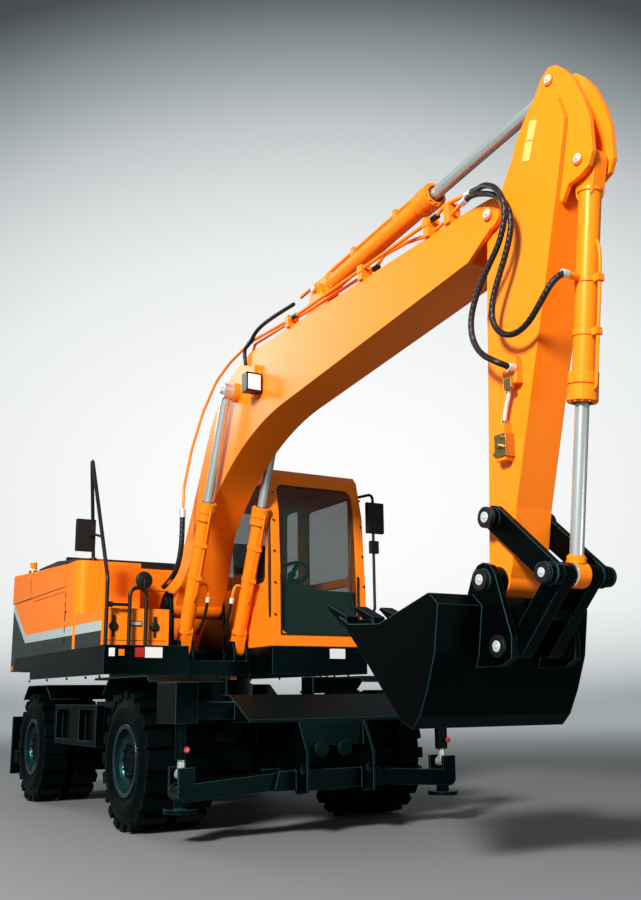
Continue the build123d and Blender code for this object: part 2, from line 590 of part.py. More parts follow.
with BuildPart() as house:
    rear, front, mid = house_x[0], house_x[1], -400
    inside = house_t - half_w
    block((rear, front), (-half_w, inside), (deck_top, house_top))
    block((rear, -580), (-inside, half_w), (deck_top, house_top))
    block((front - house_t, front), (inside, -640), (deck_top, house_top))
    block((mid - house_t, mid), (-640, 234), (deck_top, house_top))
    block((mid, front - house_t), (-640, -615), (deck_top, house_top))
    block((-605, -580), (234, -inside), (deck_top, house_top))
    block((-605, mid), (209, 234), (deck_top, house_top))
    block((-1554, -386), (-half_w - 5, inside + 5), (1490, 2000), Mode.SUBTRACT)
    block((-1554, -650), (-inside - 5, half_w + 5), (1490, 2000), Mode.SUBTRACT)
write(house, "engine_housing")

doors = (("right", (-1548, -392), -1), ("left", (-1548, -656), 1))
for name, door_x, sign in doors:
    with BuildPart() as side_door:
        block(door_x, both(half_w - house_t, half_w, sign), (1496, 1994))
        if sign == 1:
            for step in range(9):
                low = 1560 + 42 * step
                block((-1440, -960), (half_w - house_t - 1, half_w + 1), (low, low + 18), Mode.SUBTRACT)
    write(side_door, f"side_door_{name}")

with BuildPart() as hood:
    hood_low = house_top + side_gap
    outer = ((hood_x[0], hood_low), (hood_x[0], hood_z[1]), (hood_x[1], hood_z[0]), (hood_x[1], hood_low))
    plate(outer, (-half_w, 200))
    block((hood_x[0], -690), (200, half_w), (hood_low, hood_z[0]))
    slope = (hood_z[1] - hood_z[0]) / (hood_x[1] - hood_x[0])
    rear, front = hood_x[0] + hood_t, hood_x[1] - hood_t
    room = ((rear, hood_low - 1), (rear, hood_z[1] - hood_t), (front, hood_z[0] - hood_t), (front, hood_low - 1))
    plate(room, (hood_t - half_w, 200 - hood_t), Mode.SUBTRACT)
    block((rear, -690 - hood_t), (199 - hood_t, half_w - hood_t), (hood_low - 1, hood_z[0] - hood_t), Mode.SUBTRACT)
    cover = ((cover_x[0], hood_z[0] + 40), (cover_x[0] + 120, hood_z[1] + cover_h), (-1500, hood_z[1] + cover_h),
             (cover_x[1], hood_z[0] + cover_h), (cover_x[1], hood_z[0] - hood_t))
    plate(cover, cover_y_limits)
    outlet = Plane((slew_x - 2150, -1110, hood_z[0] + rise))
    with BuildSketch(outlet) as stack:
        Circle(38)
    extrude(stack.sketch, amount=230)
write(hood, "engine_hood")

with BuildPart() as engine:
    block((-2000, -1300), (-250, 250), (deck_top + 20, 1980))
    for x in (-1950, -1350):
        block((x - 30, x + 30), (-300, 300), (deck_top, deck_top + 20))
write(engine, "engine")

with BuildPart() as tank:
    block(tank_x, tank_y, (deck_top, tank_top))
    corner = tank.edges().filter_by(Axis.Z).sort_by(lambda edge: edge.center().X - edge.center().Y)[-1]
    fillet(corner, 110)
    block((tank_x[0] + 8, tank_x[1] - 60), (tank_y[0] + 60, tank_y[1] - 8), (deck_top + 8, tank_top - 8), Mode.SUBTRACT)
    post(tank_x[0] + 110, tank_y[0] + 260, (tank_top, tank_top + 40), 55)
write(tank, "fuel_tank")

with BuildPart() as locker:
    block((tank_x[1] + 1, locker_front_x), tank_y, (deck_top, locker_top))
    block((tank_x[1] + 12, locker_front_x - 12), (tank_y[0] + 47, tank_y[1] - 12), (deck_top + 12, locker_top + 1),
          Mode.SUBTRACT)
write(locker, "tool_box")

with BuildPart() as locker_lid:
    block((tank_x[1] + 8, locker_front_x), (tank_y[0] + 42, tank_y[1]), (locker_top + 1, locker_top + 12))
    block((tank_x[1] + 24, locker_front_x - 24), (tank_y[0] + 57, tank_y[1] - 24), (locker_top - 20, locker_top + 1))
write(locker_lid, "tool_box_lid")

# --- cab ---
cab_outline = ((1100, 1440), (1095, 1950), (1050, 2680), (960, 3040), (900, 3105), (-480, 3105), (-560, 3020),
               (-560, 1440))
screen_y, screen_z = (325, 1152), (1550, 2950)
door_x, door_z = (-60, 950), (1480, 2985)


def opening(plane, x, y, radius, depth, mode=Mode.SUBTRACT):
    """A rounded rectangular prism between limits on a plane."""
    with BuildSketch(plane) as outline:
        with Locations((sum(x) / 2, sum(y) / 2)):
            RectangleRounded(abs(x[1] - x[0]), abs(y[1] - y[0]), radius)
    extrude(outline.sketch, amount=depth, mode=mode)


# windows of the sides: wall y, x limits, z limits, corner radius
side_windows = ((cab_y[0], (-400, 940), (2020, 2960), 70),
                (cab_y[1] - cab_wall, (-480, -150), (2050, 2960), 60))
rear_window = ((330, 1150), (2150, 2950), 60)

with BuildPart() as cab:
    plate(cab_outline, cab_y)
    with BuildSketch(side(cab_y[1] - cab_wall)):
        with BuildLine():
            Polyline(*cab_outline, close=True)
        make_face()
        offset(amount=-cab_wall, kind=Kind.INTERSECTION)
    extrude(amount=cab_y[1] - cab_y[0] - 2 * cab_wall, mode=Mode.SUBTRACT)
    opening(across(800), screen_y, screen_z, 80, 400)
    opening(across(-600), rear_window[0], rear_window[1], rear_window[2], 150)
    for wall_y, x, z, radius in side_windows:
        opening(side(wall_y + cab_wall + 5), x, z, radius, cab_wall + 10)
    block(door_x, (cab_y[1] - cab_wall - 5, cab_y[1] + 5), door_z, Mode.SUBTRACT)
write(cab, "cab")

with BuildPart() as windscreen:
    with BuildSketch(side(cab_y[1] - cab_wall)):
        with BuildLine():
            Polyline(*cab_outline, close=True)
        make_face()
        offset(amount=-cab_wall / 2, kind=Kind.INTERSECTION)
    extrude(amount=cab_y[1] - cab_y[0] - 2 * cab_wall)
    with BuildSketch(side(cab_y[1])):
        with BuildLine():
            Polyline(*cab_outline, close=True)
        make_face()
        offset(amount=-cab_wall / 2 - glass_t, kind=Kind.INTERSECTION)
    extrude(amount=cab_y[1] - cab_y[0], mode=Mode.SUBTRACT)
    opening(across(800), screen_y, screen_z, 80, 400, Mode.INTERSECT)

with BuildPart() as cab_glass:
    for wall_y, x, z, radius in side_windows:
        opening(side(wall_y + cab_wall / 2 + glass_t / 2), x, z, radius, glass_t, Mode.ADD)
    opening(across(cab_rear_x + cab_wall / 2 - glass_t / 2), *rear_window, glass_t, Mode.ADD)
    add(windscreen.part)
write(cab_glass, "cab_windows")

with BuildPart() as cab_door:
    door_y = (cab_y[1] - cab_wall, cab_y[1])
    block((door_x[0] + side_gap, door_x[1] - side_gap), door_y, (door_z[0] + side_gap, door_z[1] - side_gap))
    door_windows = (((20, 870), (2120, 2900)), ((20, 870), (1600, 2040)))
    for x, z in door_windows:
        opening(side(cab_y[1] + 5), x, z, 60, cab_wall + 10)
write(cab_door, "cab_door")

with BuildPart() as door_glass:
    for x, z in door_windows:
        opening(side(cab_y[1] - cab_wall / 2 + glass_t / 2), x, z, 60, glass_t, Mode.ADD)
write(door_glass, "cab_door_windows")

with BuildPart() as seat:
    block((-250, 250), (500, 980), (1490, 1780))
    block((-230, 290), (490, 990), (1780, 1890))
    plate(((-250, 1890), (-130, 1890), (-230, 2560), (-330, 2560)), (500, 980))
    for y in ((380, 470), (1010, 1100)):
        block((-200, 350), y, (1490, 2000))

    plate(((620, 1490), (760, 1490), (600, 2120), (540, 2120)), (690, 790))
    wheel_at = Plane((slew_x + 545, 740, 2150), z_dir=(-0.62, 0, 0.78))
    with BuildSketch(wheel_at):
        Circle(180)
        Circle(155, mode=Mode.SUBTRACT)
        Rectangle(330, 40)
        Circle(40)
    extrude(amount=25)
    block((380, 800), (320, 420), (1490, 2080))
write(seat, "operator_station")

with BuildPart() as mirrors:
    stay_y, tank_foot = 15 - half_w, (-100, 177 - half_w)
    pipe(((850, stay_y, deck_top), (850, stay_y, 2000), (250, stay_y, 3215), (*tank_foot, tank_top + 20)), (150, 45), 17)
    post(*tank_foot, (tank_top, tank_top + 40), 32)
    block((545, 575), (stay_y - 206, stay_y - 39), (2257, 2543))
    pipe(((700, stay_y, 2372), (640, stay_y - 60, 2400), (574, stay_y - 100, 2400)), 30, 11)
    arm_y = half_w + 80
    pipe(((930, half_w, 2915), (930, half_w + 40, 2915), (1130, arm_y, 2915), (1130, arm_y, 1800),
          (1075, half_w + 50, 1690), (1075, half_w, 1690)), (25, 60, 50, 25), 14)
    block((1115, 1145), (arm_y - 76, arm_y + 111), (2526, 2828))
write(mirrors, "mirrors")

with BuildPart() as rails:
    pipe(((825, -1010, deck_top), (825, -1010, 1930), (825, -860, 1930), (825, -860, deck_top)), 70, 17)
    boss((825, 1780), (-1180, -1010), 14)
    boss((825, 1780), (-1198, -1165), 25)
write(rails, "handrails")

# lamps let into the front: x of the face, y limits, z limits
lamps = ((right_front_x, (-877, -720), (1330, 1420)), (right_front_x, (-1195, -1145), (1340, 1410)),
         (cab_front_x, (830, 990), (1330, 1420)))
with BuildPart() as lights:
    for x, y, z in lamps:
        block((x, x + 12), y, z)
write(lights, "front_lamps")

# --- boom ---
foot_flare = ((-foot_half, 1600), (foot_half, 1600), (foot_half, 1990), (boom_half, 2440), (boom_half, 4100),
              (-boom_half, 4100), (-boom_half, 2440), (-foot_half, 1990))
box_end = 4690


def boom_outline():
    """The boom's side view, its foot rounded about its pin."""
    with BuildSketch(side(boom_y + 300)) as outline:
        with BuildLine():
            Polyline((0, 1935), (860, 3440))
            ThreePointArc((860, 3440), (1200, 3755), (1690, 3925))
            Polyline((1690, 3925), (box_end, 3890), (box_end, 3560), (2330, 3310))
            ThreePointArc((2330, 3310), (1456, 3060), (720, 2503))
            Polyline((720, 2503), (250, 1840), (0, 1935))
        make_face()
        with Locations(foot):
            Circle(135)
    return outline.sketch


with BuildPart() as boom:
    extrude(boom_outline(), amount=600)
    with BuildSketch(across(-100)) as flare:
        with BuildLine():
            Polyline(*[(boom_y + y, z) for y, z in foot_flare], close=True)
        make_face()
    extrude(flare.sketch, amount=5000, mode=Mode.INTERSECT)
    with BuildSketch(side(boom_y + boom_half - boom_wall)) as room:
        with BuildLine():
            Polyline((190, 2220), (890, 3420))
            ThreePointArc((890, 3420), (1215, 3725), (1692, 3911))
            Polyline((1692, 3911), (box_end - 14, 3876), (box_end - 14, 3573), (2326, 3325))
            ThreePointArc((2326, 3325), (1446, 3074), (707, 2515))
            Polyline((707, 2515), (500, 2220), (190, 2220))
        make_face()
    extrude(room.sketch, amount=2 * (boom_half - boom_wall), mode=Mode.SUBTRACT)
    for sign in (1, -1):
        # fork at the arm, bosses at the boom cylinders' eyes, lugs of the arm cylinder
        fork_y = both(boom_half - fork_t, boom_half, sign, boom_y)
        plate(((box_end, 3560), (box_end, 3890), (tip[0], tip[1] + tip_r), (tip[0], tip[1] - tip_r), (4811, 3634)), fork_y)
        boss(tip, fork_y, tip_r)
        boss(cyl_top, both(boom_half - 20, cyl_y - cyl_eye_w / 2 - side_gap, sign, boom_y), 85)
        lug = ((2490, 3900), (2610, 4170), (2680, 4225), (2740, 4185), (2880, 3900))
        plate(lug, both(52, 82, sign, boom_y))
    boss(arm_base, both(-105, 105, 1, boom_y), cyl_pin_r)
    boss(tip, both(-boom_half - 18, boom_half + 18, 1, boom_y), tip_pin_r)
    boss(foot, both(-foot_half - 50, foot_half + 50, 1, boom_y), foot_pin_r + pin_gap, Mode.SUBTRACT)
    # work lamp on its bracket
    lamp_y = boom_y - boom_half
    plate(((1800, 3470), (1800, 3760), (1860, 3760), (1860, 3470)), (lamp_y - 45, lamp_y))
    block((1850, 1930), (lamp_y - 150, lamp_y - 20), (3500, 3650))
write(boom, "boom")

# --- cylinders: name, barrel pin, rod pin, y of each, barrel end, rod start, barrel and rod radius ---
# the eye of each rod carries its own pin and is the open end of the linkage
cylinders = (("boom_cylinder", cyl_base, cyl_top, cyl_ys, 1360, 1050, 65, 42),
             ("arm_cylinder", arm_base, arm_rod, (boom_y,), 1500, 1125, 68, 42),
             ("bucket_cylinder", bucket_base, rocker_end, (boom_y,), 1330, 946, 62, 38))
for name, first, second, ys, barrel_end, rod_start, barrel_r, rod_r in cylinders:
    run = hypot(second[0] - first[0], second[1] - first[1])
    with BuildPart() as barrel:
        for y in ys:
            eye_y = (y - cyl_eye_w / 2, y + cyl_eye_w / 2)
            link(first, along(first, second, 165), (cyl_eye_r, barrel_r), eye_y)
            bar(first, second, y, barrel_r, (150, barrel_end))
            bar(first, second, y, barrel_r + 12, (barrel_end - 150, barrel_end - 20))
            bar(first, second, y, rod_r + pin_gap, (170, barrel_end), Mode.SUBTRACT)
            boss(first, (y - 80, y + 80), cyl_pin_r + pin_gap, Mode.SUBTRACT)
        if name == "bucket_cylinder":
            boss((hose_ends[1][0], hose_ends[1][2]), (hose_ends[1][1] + 10, boom_y - barrel_r + 15), hose_r + 2)
    write(barrel, f"{name}_barrel")
    with BuildPart() as rod:
        for y in ys:
            eye_y = (y - cyl_eye_w / 2, y + cyl_eye_w / 2)
            bar(first, second, y, rod_r, (rod_start, run - 20))
            boss(second, eye_y, cyl_eye_r - 5)
            if len(ys) == 2:
                out = 1 if y > boom_y else -1
                boss(second, both(cyl_eye_w / 2, cyl_eye_w / 2 + 25, out, y), cyl_pin_r)
    write(rod, f"{name}_rod")

# --- arm ---
arm_shape = ((5040, 4000), (4835, 3690), (4803, 3284), (4741, 2200), (4702, 1620), (4789, 1524), (4870, 1600),
             (4901, 1684), (4960, 2010), (5292, 3203), (5470, 3883), (5522, 4101), (5480, 4250), (5415, 4310),
             (5330, 4315), (5253, 4262), (5140, 4130))
arm_inner = ((5050, 3985), (4850, 3690), (4817, 3284), (4756, 2200), (4735, 1800), (4905, 1780), (4945, 2010),
             (5277, 3203), (5455, 3883), (5500, 4080), (5460, 4180), (5230, 4180), (5150, 4110))
arm_lobes = ((4945, 3850), (5083, 4180), (5180, 4300), (5257, 4368), (5320, 4455), (5391, 4501), (5450, 4480),
             (5508, 4422), (5577, 4318), (5638, 4158), (5669, 4030), (5672, 3831), (5636, 3760), (5573, 3733),
             (5480, 3720), (5425, 3640), (5300, 3800))
eye_room = 170              # room about the arm cylinder's open rod eye
with BuildPart() as arm:
    plate(arm_shape, both(-arm_half, arm_half, 1, boom_y))
    plate(arm_inner, both(arm_wall - arm_half, arm_half - arm_wall, 1, boom_y), Mode.SUBTRACT)
    boss(tip, both(-arm_half, arm_half, 1, boom_y), 100)
    boss(bucket_pin, both(-arm_half, arm_half, 1, boom_y), 88)
    boss(rocker_pin, both(-rocker_y[0] + side_gap, rocker_y[0] - side_gap, 1, boom_y), 70)
    for sign in (1, -1):
        plate(arm_lobes, both(*lobe_y, sign, boom_y))
        boss(arm_rod, both(lobe_y[0], lobe_y[1] + 12, sign, boom_y), cyl_pin_r)
    boss(arm_rod, both(-lobe_y[0], lobe_y[0], 1, boom_y), eye_room, Mode.SUBTRACT)
    boss(bucket_base, both(-lobe_y[1] - 12, lobe_y[1] + 12, 1, boom_y), cyl_pin_r)
    boss(rocker_pin, both(-rocker_head, rocker_head, 1, boom_y), 40)
    boss(tip, both(-200, 200, 1, boom_y), tip_pin_r + pin_gap, Mode.SUBTRACT)
    boss(bucket_pin, both(-200, 200, 1, boom_y), 40 + pin_gap, Mode.SUBTRACT)
    # valve block of the bucket's hoses on the right side
    face = boom_y - arm_half
    plate(((4960, 2690), (4960, 2840), (5075, 2840), (5075, 2690)), (face - 50, face))
    boss((hose_ends[0][0], hose_ends[0][2]), (hose_ends[0][1] + 8, face - 40), hose_r + 2)
    plate(((4890, 2270), (4890, 2480), (4960, 2480), (4960, 2270)), (face - 60, face))
    bar((4985, 2700), (4925, 2470), face - 30, 14, (0, 240))
write(arm, "arm")

with BuildPart() as rocker:
    for sign in (1, -1):
        link(rocker_pin, rocker_end, (72, 66), both(*rocker_y, sign, boom_y))
        boss(rocker_pin, both(rocker_y[1], rocker_head - 20, sign, boom_y), 60)
        boss(rocker_end, both(rocker_y[1], rocker_head - 20, sign, boom_y), 58)
        boss(rocker_end, both(cyl_eye_w / 2 + 7, rocker_head, sign, boom_y), cyl_pin_r)
    boss(rocker_pin, both(-250, 250, 1, boom_y), 40 + pin_gap, Mode.SUBTRACT)
write(rocker, "bucket_rocker")

with BuildPart() as bucket_link:
    for sign in (1, -1):
        link(rocker_end, bucket_eye, (62, 62), both(60, rocker_y[0] - 5, sign, boom_y))
        boss(rocker_end, both(cyl_eye_w / 2 + 6, 60, sign, boom_y), 62)
    middle = ((rocker_end[0] + bucket_eye[0]) / 2, (rocker_end[1] + bucket_eye[1]) / 2)
    boss(middle, both(-60, 60, 1, boom_y), 50)
    boss(rocker_end, both(-160, 160, 1, boom_y), cyl_pin_r + pin_gap, Mode.SUBTRACT)
write(bucket_link, "bucket_link")

shell_outer = ((3760, 1462), (4047, 1190), (4290, 950), (4400, 850), (4500, 815), (4570, 880), (4645, 1019),
               (4722, 1212), (4765, 1475), (4690, 1540))
shell_inner = ((3790, 1462), (4063, 1206), (4306, 966), (4412, 871), (4494, 838), (4553, 894), (4625, 1030),
               (4701, 1220), (4740, 1470), (4675, 1525))
side_rim = ((3740, 1480), (3850, 1425), (4190, 1405), (4433, 1472), (4680, 1540))
with BuildPart() as bucket:
    plate((*shell_outer, *shell_inner[::-1]), both(-bucket_half, bucket_half, 1, boom_y))
    for sign in (1, -1):
        plate((*side_rim, *shell_outer[::-1][1:]), both(bucket_half - bucket_wall, bucket_half, sign, boom_y))
        ear = ((4640, 1540), (4698, 1660), (4745, 1700), (4789, 1710), (4850, 1690), (4885, 1640), (4998, 1290),
               (4988, 1180), (4908, 1140), (4760, 1140), (4640, 1140))
        plate(ear, both(*ear_y, sign, boom_y))
        boss(bucket_pin, both(arm_half + 8, ear_y[0], sign, boom_y), 80)
        boss(bucket_eye, both(rocker_y[0] + 2, ear_y[0], sign, boom_y), 60)
        boss(bucket_pin, both(ear_y[1], ear_head - 20, sign, boom_y), 62)
    plate(shell_inner, both(bucket_wall - bucket_half, bucket_half - bucket_wall, 1, boom_y), Mode.SUBTRACT)
    for y in (-500, -300, -100, 100, 300, 500):
        tooth = ((3760, 1425), (3584, 1549), (3610, 1560), (3815, 1478), (3830, 1400))
        plate(tooth, both(y - 45, y + 45, 1, boom_y))
    boss(bucket_pin, both(-ear_head, ear_head, 1, boom_y), 40)
    for sign in (1, -1):
        boss(bucket_eye, both(ear_y[0], ear_head, sign, boom_y), 40)
write(bucket, "bucket")

# --- steel pipes along the boom's right side, and the hoses from them to the arm ---
pipe_r = 13
with BuildPart() as boom_pipes:
    for points, radii in pipe_routes:
        pipe(points, radii, pipe_r)
    for x, up in ((2400, 100), (3500, 95), (4300, 110), (4520, 140)):
        low = [3925.2 - (end - 1690) * 35 / 3000 for end in (x - 25, x + 25)]
        plate(((x - 25, low[0]), (x - 25, low[0] + up), (x + 25, low[1] + up), (x + 25, low[1])), (-310, -215))
    pipe(foot_hose, bends(foot_hose), 22)
write(boom_pipes, "boom_pipes")

for number, points in enumerate(hose_routes, 1):
    with BuildPart() as hose:
        pipe(points, bends(points), hose_r)
    write(hose, f"hose_{number}")
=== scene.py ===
"""Looks of the wheeled excavator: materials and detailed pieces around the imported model.

Positions are written as in the part's source: millimetres, X forward from the slewing axis, Y towards
the operator's left and Z up from the ground. Side views are pairs of X and Z.
"""
import json
import math

import bmesh
import bpy
from mathutils import Matrix, Vector
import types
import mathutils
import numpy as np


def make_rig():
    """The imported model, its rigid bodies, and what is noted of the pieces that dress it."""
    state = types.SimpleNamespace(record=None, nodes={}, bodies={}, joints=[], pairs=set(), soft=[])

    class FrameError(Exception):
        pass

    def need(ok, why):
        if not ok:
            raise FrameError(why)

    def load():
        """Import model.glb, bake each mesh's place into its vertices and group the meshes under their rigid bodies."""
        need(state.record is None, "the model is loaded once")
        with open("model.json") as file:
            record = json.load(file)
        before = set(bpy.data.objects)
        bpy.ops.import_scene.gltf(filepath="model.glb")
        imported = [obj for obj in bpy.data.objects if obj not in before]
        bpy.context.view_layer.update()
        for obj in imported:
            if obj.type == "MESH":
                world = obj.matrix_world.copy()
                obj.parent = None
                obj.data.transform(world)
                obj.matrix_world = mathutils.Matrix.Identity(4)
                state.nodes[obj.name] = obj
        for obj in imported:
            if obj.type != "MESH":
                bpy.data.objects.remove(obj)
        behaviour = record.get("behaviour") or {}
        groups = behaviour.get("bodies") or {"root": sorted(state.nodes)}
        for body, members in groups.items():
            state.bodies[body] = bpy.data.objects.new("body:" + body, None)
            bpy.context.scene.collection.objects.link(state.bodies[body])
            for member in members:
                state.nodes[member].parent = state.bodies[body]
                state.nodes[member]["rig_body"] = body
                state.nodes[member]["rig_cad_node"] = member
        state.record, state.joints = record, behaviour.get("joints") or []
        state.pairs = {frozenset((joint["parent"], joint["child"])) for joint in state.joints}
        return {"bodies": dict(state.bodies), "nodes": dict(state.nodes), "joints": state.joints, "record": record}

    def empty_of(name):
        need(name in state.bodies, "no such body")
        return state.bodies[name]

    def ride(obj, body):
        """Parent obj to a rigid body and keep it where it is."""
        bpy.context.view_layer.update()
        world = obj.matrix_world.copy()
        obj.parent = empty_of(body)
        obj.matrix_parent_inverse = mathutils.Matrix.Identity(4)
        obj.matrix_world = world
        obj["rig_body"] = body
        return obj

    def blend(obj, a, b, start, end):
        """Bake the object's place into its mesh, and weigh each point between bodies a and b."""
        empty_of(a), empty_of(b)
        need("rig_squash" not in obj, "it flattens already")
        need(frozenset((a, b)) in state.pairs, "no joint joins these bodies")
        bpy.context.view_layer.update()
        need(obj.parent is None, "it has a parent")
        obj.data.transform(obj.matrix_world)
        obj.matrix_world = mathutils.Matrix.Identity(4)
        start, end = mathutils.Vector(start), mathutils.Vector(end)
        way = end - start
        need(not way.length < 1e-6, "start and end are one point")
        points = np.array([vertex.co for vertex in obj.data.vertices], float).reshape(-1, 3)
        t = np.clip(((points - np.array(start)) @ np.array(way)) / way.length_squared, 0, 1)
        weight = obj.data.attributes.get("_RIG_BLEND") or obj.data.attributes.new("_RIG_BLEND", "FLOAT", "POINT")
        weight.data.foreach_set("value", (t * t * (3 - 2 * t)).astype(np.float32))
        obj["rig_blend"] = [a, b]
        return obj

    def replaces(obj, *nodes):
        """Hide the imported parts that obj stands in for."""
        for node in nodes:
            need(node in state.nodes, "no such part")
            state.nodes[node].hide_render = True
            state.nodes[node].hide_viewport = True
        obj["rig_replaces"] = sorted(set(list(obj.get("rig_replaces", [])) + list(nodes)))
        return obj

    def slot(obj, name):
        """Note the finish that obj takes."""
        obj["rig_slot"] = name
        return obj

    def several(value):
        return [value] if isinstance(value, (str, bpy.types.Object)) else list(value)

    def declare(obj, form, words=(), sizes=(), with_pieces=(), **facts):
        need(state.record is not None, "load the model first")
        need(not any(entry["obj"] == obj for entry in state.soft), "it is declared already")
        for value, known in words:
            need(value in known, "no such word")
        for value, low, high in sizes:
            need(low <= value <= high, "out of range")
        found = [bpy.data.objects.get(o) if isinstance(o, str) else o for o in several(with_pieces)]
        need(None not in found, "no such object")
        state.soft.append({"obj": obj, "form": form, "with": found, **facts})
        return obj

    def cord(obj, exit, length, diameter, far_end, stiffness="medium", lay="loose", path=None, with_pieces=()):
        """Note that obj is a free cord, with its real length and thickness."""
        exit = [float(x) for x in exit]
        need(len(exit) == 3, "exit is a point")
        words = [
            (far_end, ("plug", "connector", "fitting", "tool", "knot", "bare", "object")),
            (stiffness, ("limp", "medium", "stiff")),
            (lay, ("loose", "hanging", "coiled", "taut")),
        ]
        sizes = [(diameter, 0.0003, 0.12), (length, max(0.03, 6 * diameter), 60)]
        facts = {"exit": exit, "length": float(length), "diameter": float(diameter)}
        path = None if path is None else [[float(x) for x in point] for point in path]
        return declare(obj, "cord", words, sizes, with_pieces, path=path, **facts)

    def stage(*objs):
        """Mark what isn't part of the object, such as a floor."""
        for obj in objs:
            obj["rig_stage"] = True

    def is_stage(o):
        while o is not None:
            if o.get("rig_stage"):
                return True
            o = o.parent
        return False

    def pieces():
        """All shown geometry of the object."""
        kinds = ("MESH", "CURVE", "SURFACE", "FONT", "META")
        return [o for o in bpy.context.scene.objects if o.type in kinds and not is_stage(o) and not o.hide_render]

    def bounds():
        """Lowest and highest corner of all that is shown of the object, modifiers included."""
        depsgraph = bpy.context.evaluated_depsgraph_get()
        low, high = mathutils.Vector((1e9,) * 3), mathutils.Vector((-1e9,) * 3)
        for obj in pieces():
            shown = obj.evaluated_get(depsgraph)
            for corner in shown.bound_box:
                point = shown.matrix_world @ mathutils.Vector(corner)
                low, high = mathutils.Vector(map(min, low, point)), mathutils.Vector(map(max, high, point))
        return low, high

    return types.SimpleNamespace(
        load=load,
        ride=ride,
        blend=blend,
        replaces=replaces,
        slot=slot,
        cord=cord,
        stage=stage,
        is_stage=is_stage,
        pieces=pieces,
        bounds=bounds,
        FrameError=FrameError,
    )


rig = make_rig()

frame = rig.load()
cad_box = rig.bounds()
TAU = 2 * math.pi

# --- places taken from the part's source ---
SLEW = -1.511               # slewing axis along X, metres
BOOM_Y = -120               # centre line of the working arm
CYLINDER_Y = 270            # boom cylinders, from the boom's centre line
HALF_W = 1237               # upper body, half its width
LOCKER_X = 760              # front face of the tool box
DECK_X = 865                # front face of the upper frame, right of the boom
WHEEL_Y, WHEEL_Z = 1111, 522
AXLES_X = {"front": 1430, "rear": -1370}
PINS = {
    "boom_base": (531, 1435), "boom_rod": (1427, 3629),
    "arm_base": (2680, 4165), "arm_rod": (5391, 4421),
    "bucket_base": (5570, 3831), "rocker_end": (5247, 1605),
    "tip": (4905, 3783), "rocker": (4817, 1961), "bucket": (4789, 1612), "bucket_eye": (4908, 1245),
}


def P(x, y, z):
    """A point of the source, in metres."""
    return Vector((x / 1000 + SLEW, y / 1000, z / 1000))


def add_object(name, data):
    """A new object in the scene."""
    made = bpy.data.objects.new(name, data)
    bpy.context.scene.collection.objects.link(made)
    return made


# --- camera ---
CAMERA_PLACE = (9055.3, -3892.3, 997.1)
YAW, PITCH, ROLL = math.radians(30.187), math.radians(12.722), math.radians(-0.583)
LENS, SENSOR = 39.5, 36
LENS_SHIFT = (0.0015, 0.0254)


def view_axes():
    """The camera's directions before its roll: ahead, to its right and up."""
    look = Vector((-math.cos(YAW) * math.cos(PITCH), math.sin(YAW) * math.cos(PITCH), math.sin(PITCH)))
    right = look.cross(Vector((0, 0, 1))).normalized()
    return look, right, right.cross(look)


def make_camera():
    """The camera stands low in front, on the machine's right, and looks slightly up."""
    look, level, upright = view_axes()
    right = level * math.cos(ROLL) + upright * math.sin(ROLL)
    up = upright * math.cos(ROLL) - level * math.sin(ROLL)
    data = bpy.data.cameras.new("camera")
    data.lens = LENS
    data.sensor_width = SENSOR
    data.shift_x, data.shift_y = LENS_SHIFT
    data.clip_end = 200
    camera = add_object("camera", data)
    turn = Matrix((right, up, -look)).transposed().to_4x4()
    camera.matrix_world = Matrix.Translation(P(*CAMERA_PLACE)) @ turn
    bpy.context.scene.camera = camera


make_camera()


# --- shader nodes ---
def nodes_of(name):
    """A new material with its node tree and its Principled shader."""
    material = bpy.data.materials.new(name)
    material.use_nodes = True
    tree = material.node_tree
    shader = next(n for n in tree.nodes if n.type == "BSDF_PRINCIPLED")
    return material, tree, shader


def add_node(tree, kind, **values):
    """A node whose inputs or settings have the values given by name."""
    node = tree.nodes.new(kind)
    for key, value in values.items():
        if key in node.inputs:
            node.inputs[key].default_value = value
        else:
            setattr(node, key, value)
    return node


def math_node(tree, operation, first, second=0.0):
    """One calculation with two values, each a socket or a number."""
    node = add_node(tree, "ShaderNodeMath", operation=operation)
    for socket, value in zip(node.inputs, (first, second)):
        if isinstance(value, bpy.types.NodeSocket):
            tree.links.new(value, socket)
        else:
            socket.default_value = value
    return node.outputs["Value"]


def range_node(tree, value, low, high, **settings):
    """A value carried from the range low to high onto 0 to 1."""
    node = add_node(tree, "ShaderNodeMapRange", **settings)
    node.inputs["From Min"].default_value = low
    node.inputs["From Max"].default_value = high
    tree.links.new(value, node.inputs["Value"])
    return node.outputs["Result"]


def dot_node(tree, vector, other):
    """How far a vector socket goes along another one or along a fixed direction."""
    node = add_node(tree, "ShaderNodeVectorMath", operation="DOT_PRODUCT")
    tree.links.new(vector, node.inputs[0])
    if isinstance(other, bpy.types.NodeSocket):
        tree.links.new(other, node.inputs[1])
    else:
        node.inputs[1].default_value = other
    return node.outputs["Value"]


def mix_colour(tree, factor, first, second):
    """Two colours mixed, each a socket or three numbers."""
    node = add_node(tree, "ShaderNodeMix", data_type="RGBA")
    for name, value in (("Factor", factor), ("A", first), ("B", second)):
        socket = next(s for s in node.inputs if s.name == name and s.enabled)
        if isinstance(value, bpy.types.NodeSocket):
            tree.links.new(value, socket)
        else:
            socket.default_value = value if isinstance(value, float) else (*value, 1)
    return next(s for s in node.outputs if s.enabled)


def split_place(tree, place):
    """The X, Y and Z of a point on the model, in metres, with X from the slewing axis."""
    split = add_node(tree, "ShaderNodeSeparateXYZ")
    tree.links.new(place.outputs["Object"], split.inputs["Vector"])
    x = math_node(tree, "SUBTRACT", split.outputs["X"], SLEW)
    return x, split.outputs["Y"], split.outputs["Z"]


